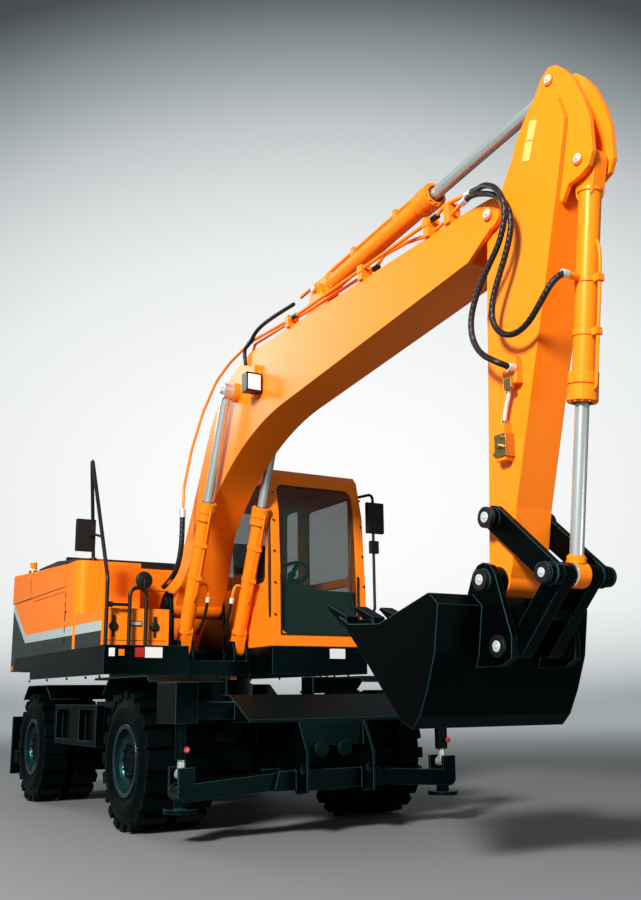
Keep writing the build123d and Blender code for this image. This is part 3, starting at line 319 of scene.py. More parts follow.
# --- materials ---
ORANGE = (0.95, 0.205, 0.006)
DARK = (0.0003, 0.0009, 0.001)
BLACK = (0.0004, 0.0007, 0.0008)
IRON = (0.0006, 0.0008, 0.0008)
# painted highlight: the pale teal that the corners of the dark parts are painted with
PAINTED_EDGE_HIGHLIGHT = (0.025, 0.085, 0.09)
PALE = (0.42, 0.50, 0.46)
BAND = (0.012, 0.026, 0.026)
HOOD_TOP = (0.006, 0.012, 0.012)
DIRT = (0.05, 0.04, 0.03)
WARM, COOL = (1, 0.6, 0.32), (0.25, 0.9, 1)     # tints of the shine on orange and on the dark parts
BEVEL_SAMPLES = 4


def worn_colour(tree, noise, colour, dirty):
    """A colour with soft patches of dirt."""
    ramp = add_node(tree, "ShaderNodeValToRGB")
    ramp.color_ramp.elements[0].position = 0.35
    ramp.color_ramp.elements[1].position = 0.75
    tree.links.new(noise, ramp.inputs["Fac"])
    worn = tuple(c * (1 - dirty) + d * dirty for c, d in zip(colour, DIRT))
    return mix_colour(tree, ramp.outputs["Color"], colour, worn)


def painted_edge_highlight(tree, base):
    """Painted highlight: corners painted a little paler, in teal, than the faces, where light would catch them."""
    corner = add_node(tree, "ShaderNodeBevel", Radius=0.008)
    corner.samples = BEVEL_SAMPLES
    flat = add_node(tree, "ShaderNodeNewGeometry")
    turn = dot_node(tree, corner.outputs["Normal"], flat.outputs["Normal"])
    return mix_colour(tree, range_node(tree, turn, 0.97, 0.80), base, PAINTED_EDGE_HIGHLIGHT)


def stripe_colour(tree, place, colour):
    """Orange above a pale band and a dark one on the outer sides, the band rising at the tail."""
    bend_x, band_top, band_width = -1.832, 1.664, 0.085
    tail_rise, front_fall = 0.66, 0.0074
    side_y, tail_x = 1.2345, -2.41
    x, y, z = split_place(tree, place)
    behind = math_node(tree, "MAXIMUM", math_node(tree, "SUBTRACT", bend_x, x), 0.0)
    ahead = math_node(tree, "MAXIMUM", math_node(tree, "SUBTRACT", x, bend_x), 0.0)
    top = math_node(tree, "ADD", band_top, math_node(tree, "MULTIPLY", behind, tail_rise))
    top = math_node(tree, "SUBTRACT", top, math_node(tree, "MULTIPLY", ahead, front_fall))
    above = math_node(tree, "SUBTRACT", z, top)
    banded = math_node(tree, "LESS_THAN", above, 0.0)
    lower = math_node(tree, "LESS_THAN", above, -band_width)
    outer = math_node(tree, "GREATER_THAN", math_node(tree, "ABSOLUTE", y), side_y)
    side = math_node(tree, "MAXIMUM", outer, math_node(tree, "LESS_THAN", x, tail_x))
    low = mix_colour(tree, lower, PALE, BAND)
    return mix_colour(tree, math_node(tree, "MULTIPLY", side, banded), colour, low)


def hood_colour(tree, place, colour):
    """The hood's sides are orange, and its raised middle cover is dark."""
    front_x, front_z, slope, cover_y = -0.4, 2.264, -0.0495, -1.012
    x, y, z = split_place(tree, place)
    fall = math_node(tree, "MULTIPLY", math_node(tree, "SUBTRACT", x, front_x), slope)
    over = math_node(tree, "GREATER_THAN", math_node(tree, "SUBTRACT", z, fall), front_z)
    inside = math_node(tree, "GREATER_THAN", y, cover_y)
    return mix_colour(tree, math_node(tree, "MULTIPLY", over, inside), colour, HOOD_TOP)


def paint(name, colour, rough, coat=0.0, dirty=0.12, bump=0.02, metallic=0.0, edge=0.006, shine=0.5,
          tint=(1, 1, 1), pattern=None, painted_highlight_edges=False, ribbed=False):
    """Paint, metal or rubber: rounded edges, a fine grain and a slight change of gloss and colour, and on some a
    painted highlight on the corners.
    """
    material, tree, shader = nodes_of(name)
    place = add_node(tree, "ShaderNodeTexCoord")
    large = add_node(tree, "ShaderNodeTexNoise", Scale=1.7, Detail=4.0)
    if ribbed:
        fine = add_node(tree, "ShaderNodeTexWave", bands_direction="DIAGONAL", Scale=14.0)
    else:
        fine = add_node(tree, "ShaderNodeTexNoise", Scale=160.0, Detail=2.0)
    for noise in (large, fine):
        tree.links.new(place.outputs["Object"], noise.inputs["Vector"])

    base = pattern(tree, place, colour) if pattern else worn_colour(tree, large.outputs["Fac"], colour, dirty)
    # painted highlight on the corners of the dark paints
    if painted_highlight_edges:
        base = painted_edge_highlight(tree, base)
    tree.links.new(base, shader.inputs["Base Color"])

    gloss = add_node(tree, "ShaderNodeMapRange")
    gloss.inputs["To Min"].default_value = rough * 0.85
    gloss.inputs["To Max"].default_value = rough * 1.3
    tree.links.new(large.outputs["Fac"], gloss.inputs["Value"])
    tree.links.new(gloss.outputs["Result"], shader.inputs["Roughness"])
    round_off = add_node(tree, "ShaderNodeBevel", Radius=edge)
    round_off.samples = BEVEL_SAMPLES
    grain = add_node(tree, "ShaderNodeBump", Strength=bump, Distance=0.002)
    tree.links.new(fine.outputs["Fac"], grain.inputs["Height"])
    tree.links.new(round_off.outputs["Normal"], grain.inputs["Normal"])
    tree.links.new(grain.outputs["Normal"], shader.inputs["Normal"])
    shader.inputs["Coat Weight"].default_value = coat
    shader.inputs["Coat Roughness"].default_value = 0.08
    shader.inputs["Metallic"].default_value = metallic
    shader.inputs["Specular IOR Level"].default_value = shine
    shader.inputs["Specular Tint"].default_value = (*tint, 1)
    return material


def glass(name, colour, alpha, rough):
    """See-through glass, tinted by its colour."""
    material, _, shader = nodes_of(name)
    shader.inputs["Base Color"].default_value = (*colour, 1)
    shader.inputs["Roughness"].default_value = rough
    shader.inputs["Alpha"].default_value = alpha
    shader.inputs["Specular IOR Level"].default_value = 0.6
    return material


BODY = {"colour": ORANGE, "rough": 0.3, "coat": 0.05, "shine": 0.4, "tint": WARM}      # the orange parts
CLEAN = {"dirty": 0.0, "tint": COOL}        # the nearly black parts
SMALL = {"edge": 0.002}                     # small parts, with fine edges
LENS_PAINT = {"coat": 0.8, "edge": 0.002}
PAINTS = {
    "body_paint": {**BODY, "coat": 0.03, "dirty": 0.03},
    "striped_paint": {**BODY, "pattern": stripe_colour},
    "cab_paint": {**BODY, "dirty": 0.03},
    "hood_shell": {**BODY, "pattern": hood_colour},
    # the two dark paints below carry a painted highlight on their corners
    "frame_paint": {**CLEAN, "colour": DARK, "rough": 0.28, "shine": 0.13, "painted_highlight_edges": True},
    "black_paint": {**CLEAN, "colour": BLACK, "rough": 0.32, "shine": 0.06, "painted_highlight_edges": True},
    "axle_iron": {**CLEAN, "colour": IRON, "rough": 0.4, "shine": 0.08},
    "rim_paint": {**CLEAN, "colour": (0.004, 0.012, 0.013), "rough": 0.25, "shine": 0.6},
    "tyre_rubber": {**CLEAN, "colour": IRON, "rough": 0.5, "shine": 0.08, "bump": 0.15},
    "cast_engine": {"colour": (0.05, 0.05, 0.05), "rough": 0.6},
    "dark_trim": {"colour": (0.012, 0.012, 0.014), "rough": 0.7, "bump": 0.2},
    "black_plastic": {"colour": (0.003, 0.004, 0.004), "rough": 0.35, "shine": 0.3},
    "label": {"colour": (0.62, 0.40, 0.10), "rough": 0.4, "coat": 0.1, "edge": 0.001},
    "white_plate": {"colour": (0.75, 0.72, 0.68), "rough": 0.35, "coat": 0.2, "edge": 0.001},
    "hose_rubber": {**SMALL, "colour": (0.003, 0.003, 0.003), "rough": 0.45, "shine": 0.35, "bump": 1.0,
                    "ribbed": True},
    "chrome_rod": {**SMALL, "colour": (0.58, 0.65, 0.63), "rough": 0.24, "dirty": 0.03, "metallic": 0.7},
    "bright_steel": {**SMALL, "colour": (0.62, 0.66, 0.66), "rough": 0.35, "dirty": 0.1, "metallic": 0.5},
    "brass": {**SMALL, "colour": (0.45, 0.33, 0.12), "rough": 0.3, "metallic": 1.0},
    "mirror_face": {**SMALL, "colour": (0.8, 0.82, 0.83), "rough": 0.03, "dirty": 0.0, "metallic": 1.0},
    "red_lens": {**LENS_PAINT, "colour": (0.45, 0.012, 0.008), "rough": 0.12},
    "amber_lens": {**LENS_PAINT, "colour": (0.9, 0.20, 0.01), "rough": 0.12},
    "lamp_white": {**LENS_PAINT, "colour": (0.85, 0.85, 0.82), "rough": 0.1},
}
materials = {name: paint(name, **values) for name, values in PAINTS.items()}
materials["tinted_glass"] = glass("tinted_glass", (0.004, 0.03, 0.022), 0.4, 0.02)
materials["lamp_glass"] = glass("lamp_glass", (0.8, 0.8, 0.78), 0.9, 0.15)
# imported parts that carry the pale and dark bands
STRIPED = ("counterweight", "engine_housing", "side_door_left", "side_door_right", "fuel_tank", "tool_box")
# finishes that only the scene has, and the slots of the record that they stand in
SLOTS = {
    "striped_paint": "body_paint", "label": "body_paint", "white_plate": "lamp_glass",
    "red_lens": "lamp_glass", "amber_lens": "lamp_glass", "lamp_white": "lamp_glass",
    "mirror_face": "bright_steel", "brass": "bright_steel",
}

for entry in frame["record"]["subparts"]:
    node = frame["nodes"][entry["node"]]
    node.data.materials.clear()
    finish = "striped_paint" if entry["node"] in STRIPED else entry["material_slot"]
    node.data.materials.append(materials[finish])


# --- making pieces ---
ROUND_SIDES = 28            # flat sides of a round bar or sleeve


def finish_piece(piece, body, finish):
    """Put a piece on its body and give it its material."""
    piece.data.materials.append(materials[finish])
    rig.ride(piece, body)
    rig.slot(piece, SLOTS.get(finish, finish))


def add_box(mesh, low, high):
    """A box between two points of the source."""
    a, b = P(*low), P(*high)
    corners = [mesh.verts.new((x, y, z)) for x in (a.x, b.x) for y in (a.y, b.y) for z in (a.z, b.z)]
    for face in ((0, 1, 3, 2), (4, 6, 7, 5), (0, 4, 5, 1), (2, 3, 7, 6), (0, 2, 6, 4), (1, 5, 7, 3)):
        mesh.faces.new([corners[i] for i in face])


def join_rings(mesh, low, high):
    """Faces between two rings of as many points."""
    for i in range(len(low)):
        k = (i + 1) % len(low)
        mesh.faces.new((low[i], low[k], high[k], high[i]))


def add_prism(mesh, outline, low, high):
    """A side-view outline between two values of Y."""
    near = [mesh.verts.new(P(x, low, z)) for x, z in outline]
    far = [mesh.verts.new(P(x, high, z)) for x, z in outline]
    mesh.faces.new(near)
    mesh.faces.new(far[::-1])
    join_rings(mesh, near, far)


def rings_between(mesh, start, end, stations, count):
    """Rings about the line between two points; a station is the share of the way and the radius."""
    a, b = P(*start), P(*end)
    run = (b - a).normalized()
    across = run.orthogonal().normalized()
    other = run.cross(across)
    turns = [across * math.cos(TAU * i / count) + other * math.sin(TAU * i / count) for i in range(count)]
    return [[mesh.verts.new(a.lerp(b, share) + turn * radius / 1000) for turn in turns]
            for share, radius in stations]


def add_round(mesh, start, end, radius, count=ROUND_SIDES):
    """A round bar between two points of the source."""
    low, high = rings_between(mesh, start, end, ((0, radius), (1, radius)), count)
    mesh.faces.new(low)
    mesh.faces.new(high[::-1])
    join_rings(mesh, low, high)


def add_sleeve(mesh, start, end, inner, radius):
    """A round sleeve with a bore between two points of the source."""
    rings = rings_between(mesh, start, end, ((0, inner), (0, radius), (1, radius), (1, inner)), ROUND_SIDES)
    for low, high in zip(rings, rings[1:] + rings[:1]):
        join_rings(mesh, low, high)


def add_turned(mesh, centre, profile, count=48, axis="Y", closed=True):
    """A profile of (offset along the X or Y axis, radius) turned about that axis through a point."""
    middle = P(*centre)
    rings = []
    for offset, radius in profile:
        ring = []
        for i in range(count):
            c, s = math.cos(TAU * i / count) * radius, math.sin(TAU * i / count) * radius
            shift = (offset, c, s) if axis == "X" else (c, offset, s)
            ring.append(mesh.verts.new(middle + Vector(shift) / 1000))
        rings.append(ring)
    for low, high in zip(rings, rings[1:]):
        join_rings(mesh, low, high)
    if closed:
        mesh.faces.new(rings[0])
        mesh.faces.new(rings[-1][::-1])


def add_bolts(mesh, centre, run, ring, count, size, depth):
    """Bolt heads in a ring about a side-view direction."""
    run = Vector((run[0], 0, run[1])).normalized()
    side = run.cross(Vector((0, 1, 0)))
    for i in range(count):
        a = TAU * (i + 0.5) / count
        start = Vector(centre) + (side * math.cos(a) + Vector((0, 1, 0)) * math.sin(a)) * ring
        add_round(mesh, tuple(start - run * 4), tuple(start + run * depth), size, count=6)


def piece_of(name, body, finish, *shapes, smooth=False):
    """One piece from several shapes, each a function with its arguments."""
    mesh = bmesh.new()
    for make, *values in shapes:
        make(mesh, *values)
    data = bpy.data.meshes.new(name)
    bmesh.ops.recalc_face_normals(mesh, faces=mesh.faces)
    mesh.to_mesh(data)
    mesh.free()
    for face in data.polygons:
        face.use_smooth = smooth
    finish_piece(add_object(name, data), body, finish)


def spline(name, points, radius):
    """A round tube, its radius in metres, along a smooth curve that the points control."""
    data = bpy.data.curves.new(name, "CURVE")
    data.dimensions = "3D"
    data.bevel_depth = radius
    data.bevel_resolution = 3
    data.use_fill_caps = True
    line = data.splines.new("NURBS")
    line.points.add(len(points) - 1)
    for knot, point in zip(line.points, points):
        knot.co = (*P(*point), 1)
    line.order_u = 3
    line.use_endpoint_u = True
    line.resolution_u = 8
    return add_object(name, data)


def as_mesh(piece):
    """A mesh tube in place of a curve, and the points of the curve's own line."""
    data = piece.data
    tube = bpy.data.meshes.new_from_object(piece)
    data.bevel_depth = 0
    line = bpy.data.meshes.new_from_object(piece)
    path = [tuple(v.co) for v in line.vertices]
    bpy.data.meshes.remove(line)
    name = piece.name
    bpy.data.objects.remove(piece)
    for face in tube.polygons:
        face.use_smooth = True
    return add_object(name, tube), path


def line_piece(name, points, radius, body, finish):
    """A bent pipe or hose that one body holds all the way."""
    finish_piece(spline(name, points, radius / 1000), body, finish)


# --- hoses between boom and arm: their radius in metres, and the points of their routes ---
HOSE_R = 0.018
HOSES = {
    "hose_1": ((4721, -305.2, 3994.7), (4850, -330, 3960), (4990, -385, 3912), (5105, -402, 3833),
               (5165, -402, 3725), (5165, -402, 3605), (5105, -402, 3480), (5000, -402, 3382),
               (4890, -402, 3262), (4825, -402, 3130), (4830, -402, 3000), (4900, -402, 2890),
               (5000, -402, 2822), (5048, -388, 2790), (5060, -330, 2775)),
    "hose_2": ((4701, -325.3, 3941.9), (4830, -360, 3929), (4975, -362, 3870), (5095, -362, 3790),
               (5165, -362, 3680), (5170, -362, 3555), (5115, -362, 3430), (5040, -362, 3310),
               (4975, -362, 3190), (4965, -362, 3070), (5030, -362, 2975), (5140, -362, 2930),
               (5255, -362, 2955), (5350, -362, 3030), (5425, -355, 3110), (5470, -325, 3165),
               (5476, -285, 3183)),
}


def hoses():
    """The two hoses that follow both the boom and the arm."""
    for name, points in HOSES.items():
        piece, path = as_mesh(spline(f"{name}_rubber", points, HOSE_R))
        piece.data.materials.clear()
        piece.data.materials.append(materials["hose_rubber"])
        length = sum((Vector(b) - Vector(a)).length for a, b in zip(path, path[1:]))
        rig.cord(piece, exit=path[0], length=length, diameter=2 * HOSE_R, far_end="object",
                stiffness="stiff", lay="loose", path=path)
        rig.replaces(piece, name)
        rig.blend(piece, "boom", "arm", start=path[4], end=path[-5])
        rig.slot(piece, "hose_rubber")


# --- working arm ---
def pins():
    """Pale end caps on both ends of the pins, and black collars about some of them."""
    # pin, distance of its ends from the arm's centre line, radius, body, whether it has black collars
    table = (("tip", 188, 38, "boom", False), ("arm_base", 105, 35, "boom", False),
             ("arm_rod", 105, 35, "arm", False), ("bucket_base", 105, 35, "arm", False),
             ("boom_rod", 340, 35, "boom_rods", False), ("rocker", 240, 40, "arm", True),
             ("rocker_end", 240, 35, "rocker", True), ("bucket", 275, 40, "bucket", True),
             ("bucket_eye", 275, 40, "bucket", True))
    for name, reach, radius, body, collared in table:
        x, z = PINS[name]
        caps, collars = [], []
        for side in (1, -1):
            centre = (x, BOOM_Y + side * reach, z)
            collars.append((add_turned, centre, ((-side * 18, radius + 20), (side * 2, radius + 20),
                                                 (side * 2, radius - 8))))
            cap = ((0, radius - 9), (side * 5, radius - 9), (side * 7, radius - 13),
                   (side * 7, 9), (side * 11, 8))
            caps.append((add_turned, centre, cap, 32))
        piece_of(f"pin_cap_{name}", body, "bright_steel", *caps)
        if collared:
            piece_of(f"pin_collar_{name}", body, "black_plastic", *collars)


def line_of(first, second, y):
    """The side-view direction between two pins, and a function for points along and off their line."""
    run = Vector((second[0] - first[0], second[1] - first[1])).normalized()

    def at(distance, off=0.0):
        return first[0] + run.x * distance - run.y * off, y, first[1] + run.y * distance + run.x * off

    return run, at


def cylinder_pipe(name, at, end, radius, body, side):
    """The pipe along a barrel, on the side of the line that side gives, and its two clamps."""
    front = side * (radius + 26)
    route = (at(end - 60, front * 0.85), at(end - 66, front * 1.1), at(end - 130, front * 1.1),
             at(end * 0.5, front * 1.08), at(end * 0.37, front), at(end * 0.34, front * 0.7))
    line_piece(f"cylinder_pipe_{name}", route, 10, body, "body_paint")
    clamps = []
    for distance in (end * 0.5, end * 0.72):
        x, y, z = at(distance, front * 0.98)
        clamps.append((add_sleeve, at(distance - 14), at(distance + 14), radius - 5, radius + 6))
        clamps.append((add_box, (x - 20, y - 22, z - 20), (x + 20, y + 22, z + 20)))
    piece_of(f"cylinder_clamps_{name}", body, "body_paint", *clamps)


def bucket_rod_eye():
    """The orange eye and collar on the end of the bucket cylinder's rod."""
    base, (x, z) = PINS["bucket_base"], PINS["rocker_end"]
    length = math.hypot(x - base[0], z - base[1])
    _, at = line_of(base, (x, z), BOOM_Y)
    piece_of("bucket_rod_eye", "bucket_rod", "body_paint",
             (add_sleeve, (x, BOOM_Y - 44, z), (x, BOOM_Y + 44, z), 60, 73),
             (add_sleeve, at(length - 96), at(length - 60), 32, 52),
             (add_sleeve, at(length - 104), at(length - 96), 32, 46))


def cylinders():
    """The flanged heads of the large cylinders, their bolts and the small pipes beside them."""
    # cylinder, first and second pin, Y, length and radius of its barrel, body, side of the pipe
    table = (("boom_left", "boom_base", "boom_rod", BOOM_Y + CYLINDER_Y, 1360, 65, "boom_barrels", -1),
             ("boom_right", "boom_base", "boom_rod", BOOM_Y - CYLINDER_Y, 1360, 65, "boom_barrels", -1),
             ("arm", "arm_base", "arm_rod", BOOM_Y, 1500, 68, "arm_barrel", 0),
             ("bucket", "bucket_base", "rocker_end", BOOM_Y, 1330, 62, "bucket_barrel", 1))
    for name, first, second, y, end, radius, body, side in table:
        run, at = line_of(PINS[first], PINS[second], y)
        bore = radius - 18
        flanges = ((end - 160, end - 96, radius + 21), (end - 96, end - 88, radius + 13),
                   (end - 88, end - 4, radius + 22), (end - 4, end + 6, radius + 6), (150, 172, radius + 8))
        piece_of(f"cylinder_head_{name}", body, "body_paint",
                 *[(add_sleeve, at(low), at(high), bore, size) for low, high, size in flanges],
                 (add_bolts, at(end - 4), run, radius + 10, 12, 8, 9))
        piece_of(f"cylinder_seal_{name}", body, "black_plastic",
                 (add_sleeve, at(end + 5), at(end + 10), bore, radius - 8))
        if name == "bucket":
            bucket_rod_eye()
        if side:
            cylinder_pipe(name, at, end, radius, body, side)


def boom_cylinder_ports():
    """The port pipe, fitting and hose on the inner side of each boom cylinder."""
    for name, inner in (("left", -1), ("right", 1)):
        y = BOOM_Y - inner * CYLINDER_Y
        near, far = y + inner * 130, y + inner * 150
        route = ((760, y + inner * 70, 1990), (765, y + inner * 110, 2010),
                 (770, far, 1960), (740, far, 1880))
        line_piece(f"port_pipe_{name}", route, 14, "boom_barrels", "body_paint")
        piece_of(f"port_fitting_{name}", "boom_barrels", "white_plate",
                 (add_round, (742, far, 1885), (726, far, 1840), 20))
        route = ((728, far, 1845), (700, far, 1760), (620, far, 1650), (540, near, 1560))
        line_piece(f"port_hose_{name}", route, 15, "boom_barrels", "hose_rubber")


def boom_hoses():
    """The hose at the boom's foot, and the short one between the boom's pipes."""
    line_piece("foot_hose", ((730, -500, 2625), (728, -500, 2440), (705, -500, 2290), (630, -500, 2150),
                             (480, -500, 2060), (300, -500, 2010)), 25, "boom", "hose_rubber")
    piece_of("foot_hose_ends", "boom", "bright_steel", (add_round, (730, -500, 2600), (728, -500, 2680), 29))
    line_piece("jumper_hose", ((2482, -290, 4090), (2199, -310, 4090), (1876, -320, 4075), (1731, -320, 3983),
                               (1607, -318, 3976), (1634, -308, 3829)), 17, "boom", "hose_rubber")


def boom_lamp():
    """The work lamp on the boom's side: a housing, a lens and a rim of four bars."""
    face = 1936
    left, right, low, high = -446, -304, 3494, 3656
    rim = 14
    piece_of("lamp_housing", "boom", "black_plastic", (add_box, (1843, left, low), (face, right, high)),
             (add_box, (1800, -400, 3560), (1845, -290, 3590)))
    piece_of("lamp_lens", "boom", "lamp_white",
             (add_box, (face, left + 12, low + rim), (face + 6, right - 12, high - rim)))
    piece_of("lamp_rim", "boom", "black_plastic",
             (add_box, (face - 2, left, low), (face + 8, left + 12, high)),
             (add_box, (face - 2, right - 12, low), (face + 8, right, high)),
             (add_box, (face - 2, left, low), (face + 8, right, low + rim)),
             (add_box, (face - 2, left, high - rim), (face + 8, right, high)))


def boom_piping():
    """Unions and clips of the boom's pipes, and the pipe along the arm cylinder."""
    unions = ((2502, -290, 3979), (3614, -240, 3966), (4382, -290, 3998), (1681, -290, 4022))
    piece_of("pipe_unions", "boom", "black_plastic",
             *[(add_round, (x - 30, y, z), (x + 30, y, z), 20) for x, y, z in unions])
    piece_of("pipe_clips", "boom", "body_paint",
             *[(add_box, (x - 28, -314, z - 30), (x + 28, -215, z + 26))
               for x, z in ((2400, 3985), (3500, 3988), (4300, 3996))])
    side_view = ((2300, 4250), (2410, 4262), (2694, 4268), (2760, 4290), (3150, 4320), (3818, 4378),
                 (4050, 4395), (4080, 4350))
    route = [(x, BOOM_Y, z) for x, z in side_view]
    line_piece("arm_cylinder_pipe", route, 15, "arm_barrel", "body_paint")
    piece_of("arm_cylinder_clips", "arm_barrel", "body_paint",
             (add_box, (3130, BOOM_Y - 30, 4276), (3170, BOOM_Y + 30, 4340)),
             (add_box, (3700, BOOM_Y - 30, 4330), (3740, BOOM_Y + 30, 4392)))


def hose_fittings():
    """The bright ferrules at the ends of the two hoses between boom and arm."""
    for name, start, end, body in (("one", (4725, -306, 3993), (4790, -318, 3976), "boom"),
                                   ("two", (4705, -327, 3941), (4770, -344, 3934), "boom"),
                                   ("three", (5060, -345, 2775), (5060, -300, 2775), "arm"),
                                   ("four", (5476, -300, 3183), (5476, -262, 3183), "bucket_barrel")):
        piece_of(f"hose_fitting_{name}", body, "bright_steel", (add_round, start, end, 23))


def arm_fittings():
    """The valve on the arm with its pipe, and two plain plates near the arm's top."""
    piece_of("arm_valve", "arm", "brass", (add_box, (4880, -318, 2290), (4975, -250, 2420)),
             (add_round, (4925, -284, 2420), (4945, -284, 2500), 22),
             (add_round, (4880, -284, 2330), (4845, -284, 2322), 18),
             (add_round, (4930, -318, 2350), (4930, -345, 2350), 16),
             (add_round, (4960, -318, 2395), (4960, -338, 2395), 12),
             (add_box, (4990, -322, 2660), (5050, -300, 2720)))
    route = ((4945, -290, 2495), (4960, -290, 2560), (5000, -290, 2640), (5013, -290, 2720))
    line_piece("arm_valve_pipe", route, 11, "arm", "bright_steel")
    plates = []
    for x, z in ((5263, 4158), (5219, 4046)):
        outline = ((x - 50, z - 41), (x + 10, z - 65), (x + 50, z + 41), (x - 10, z + 65))
        plates.append((add_prism, outline, -252.5, -249))
    piece_of("arm_plates", "arm", "label", *plates)


# --- wheels: profiles from the outer tyre's middle outwards ---
HUB = ((73, 0.5), (73, 88), (66, 96), (10, 100), (0, 100))
HUB_RING = ((73, 138), (78, 132), (78, 104), (74, 100))
RIM_RING = ((104, 262), (116, 276), (120, 270), (112, 256), (60, 236), (20, 226), (16, 180), (4, 150))
NUTS, NUT_RING, NUT_R = 10, 118, 11


def wheels():
    """The hub with its wheel nuts, and the rim's turned face, on each outer wheel."""
    for name, x, side in [(f"{end}_{hand}", x, side) for end, x in AXLES_X.items()
                          for hand, side in (("left", 1), ("right", -1))]:
        y = side * WHEEL_Y
        hub, hub_ring, rim = [[(side * offset, radius) for offset, radius in profile]
                              for profile in (HUB, HUB_RING, RIM_RING)]
        nuts = []
        for i in range(NUTS):
            a = TAU * i / NUTS
            nut_x, nut_z = x + NUT_RING * math.cos(a), WHEEL_Z + NUT_RING * math.sin(a)
            start, end = (nut_x, y - side * 2, nut_z), (nut_x, y + side * 92, nut_z)
            nuts.append((add_round, start, end, NUT_R, 6))
        piece_of(f"hub_{name}", f"wheels_{name}", "axle_iron", (add_turned, (x, y, WHEEL_Z), hub), *nuts,
                 (add_turned, (x, y, WHEEL_Z), hub_ring))
        piece_of(f"rim_ring_{name}", f"wheels_{name}", "rim_paint",
                 (add_turned, (x, y, WHEEL_Z), rim, 64, "Y", False), smooth=True)


# --- upper body ---
def locker_details():
    """Latches, handle and seam on the tool box's front."""
    latches = []
    for y in (-1130, -755):
        latches += [(add_turned, (LOCKER_X, y, 1600), ((0, 40), (14, 40), (22, 30), (24, 10)), 24, "X"),
                    (add_box, (LOCKER_X, y - 12, 1600), (LOCKER_X + 18, y + 12, 1690)),
                    (add_box, (LOCKER_X, y - 9, 1510), (LOCKER_X + 12, y + 9, 1600))]
    piece_of("locker_latches", "upper", "black_plastic", *latches)
    piece_of("locker_handle", "upper", "bright_steel",
             (add_box, (LOCKER_X, -1000, 1612), (LOCKER_X + 16, -880, 1640)))
    piece_of("locker_handle_slot", "upper", "black_plastic",
             (add_box, (LOCKER_X, -1006, 1604), (LOCKER_X + 8, -874, 1648)))
    piece_of("locker_seams", "upper", "black_plastic",
             (add_box, (LOCKER_X - 1, -1215, 1478), (LOCKER_X + 1.5, -645, 1483)))


def side_details():
    """Hinges, seams and a lock on the body's right side, and a lock on its tail."""
    piece_of("side_hinges", "upper", "black_plastic",
             *[(add_box, (-352, -HALF_W - 4, z - 32), (-340, -HALF_W + 1, z + 32))
               for z in (1530, 1640, 1750, 1860, 1960)])
    piece_of("side_seams", "upper", "black_plastic",
             (add_box, (-2255, -HALF_W - 1.5, 2040), (-330, -HALF_W + 1, 2046)),
             (add_box, (-1700, -HALF_W - 1.5, 2046), (-1694, -HALF_W + 1, 2270)))
    piece_of("door_lock", "upper", "black_plastic", (add_box, (-2420, 100, 2000), (-2419, 110, 2010)),
             (add_turned, (-330, -HALF_W, 1800), ((0, 16), (-6, 16), (-9, 8)), 20))


def lamp_details():
    """The red lamp, the amber markers and the frame of the pale plate."""
    piece_of("red_lamp", "upper", "red_lens", (add_box, (DECK_X, -965, 1335), (DECK_X + 15, -885, 1415)))
    piece_of("side_markers", "upper", "amber_lens",
             (add_box, (DECK_X, -1110, 1345), (DECK_X + 13, -1062, 1400)),
             (add_box, (-2390, -HALF_W - 8, 1300), (-2340, -HALF_W + 5, 1350)),
             (add_box, (540, 60, 1150), (600, 120, 1180)))
    piece_of("plate_frames", "upper", "black_plastic",
             (add_box, (DECK_X - 1, -884, 1322), (DECK_X + 7, -712, 1428)))


def hood_details():
    """The exhaust's stack and the ridges of the hood's cover."""
    piece_of("stack_neck", "engine_hood", "brass",
             (add_round, (-2150, -1110, 2330), (-2150, -1110, 2400), 48))
    piece_of("stack", "engine_hood", "white_plate",
             (add_round, (-2150, -1110, 2395), (-2175, -1110, 2492), 42))
    piece_of("hood_ridges", "engine_hood", "black_plastic",
             *[(add_box, (x, -1000, 2395), (x + 60, 170, 2446)) for x in (-2200, -1700, -1250)],
             (add_box, (-900, -1000, 2340), (-840, 170, 2372)))


def mirror_details():
    """The round mirror by the steps, and the covers of the long mirrors' heads."""
    centre = (790, -880, 2000)
    piece_of("round_mirror", "upper", "mirror_face",
             (add_turned, centre, ((0, 2), (6, 50), (14, 72), (20, 76)), 32, "X"))
    piece_of("round_mirror_back", "upper", "black_plastic",
             (add_turned, centre, ((20, 78), (30, 70), (42, 30), (44, 3)), 32, "X"),
             (add_round, (830, -880, 2000), (825, -880, 1925), 9))
    piece_of("mirror_heads", "upper", "black_plastic", (add_box, (538, -1428, 2262), (590, -1262, 2538)),
             (add_box, (1108, 1243, 2530), (1158, 1426, 2824)),
             (add_box, (1120, 1270, 2330), (1160, 1360, 2450)))


def deck_bolts():
    """Bolt heads under the upper frame's edges."""
    places = [(x, y) for x in (-1900, -1200, -500, 100, 500) for y in (-1150, 1150)]
    places += [(1060, y) for y in (300, 450, 600, 750, 900, 1050)]
    piece_of("deck_bolts", "upper", "black_plastic",
             *[(add_round, (x, y, 1190), (x, y, 1168), 10, 10) for x, y in places])


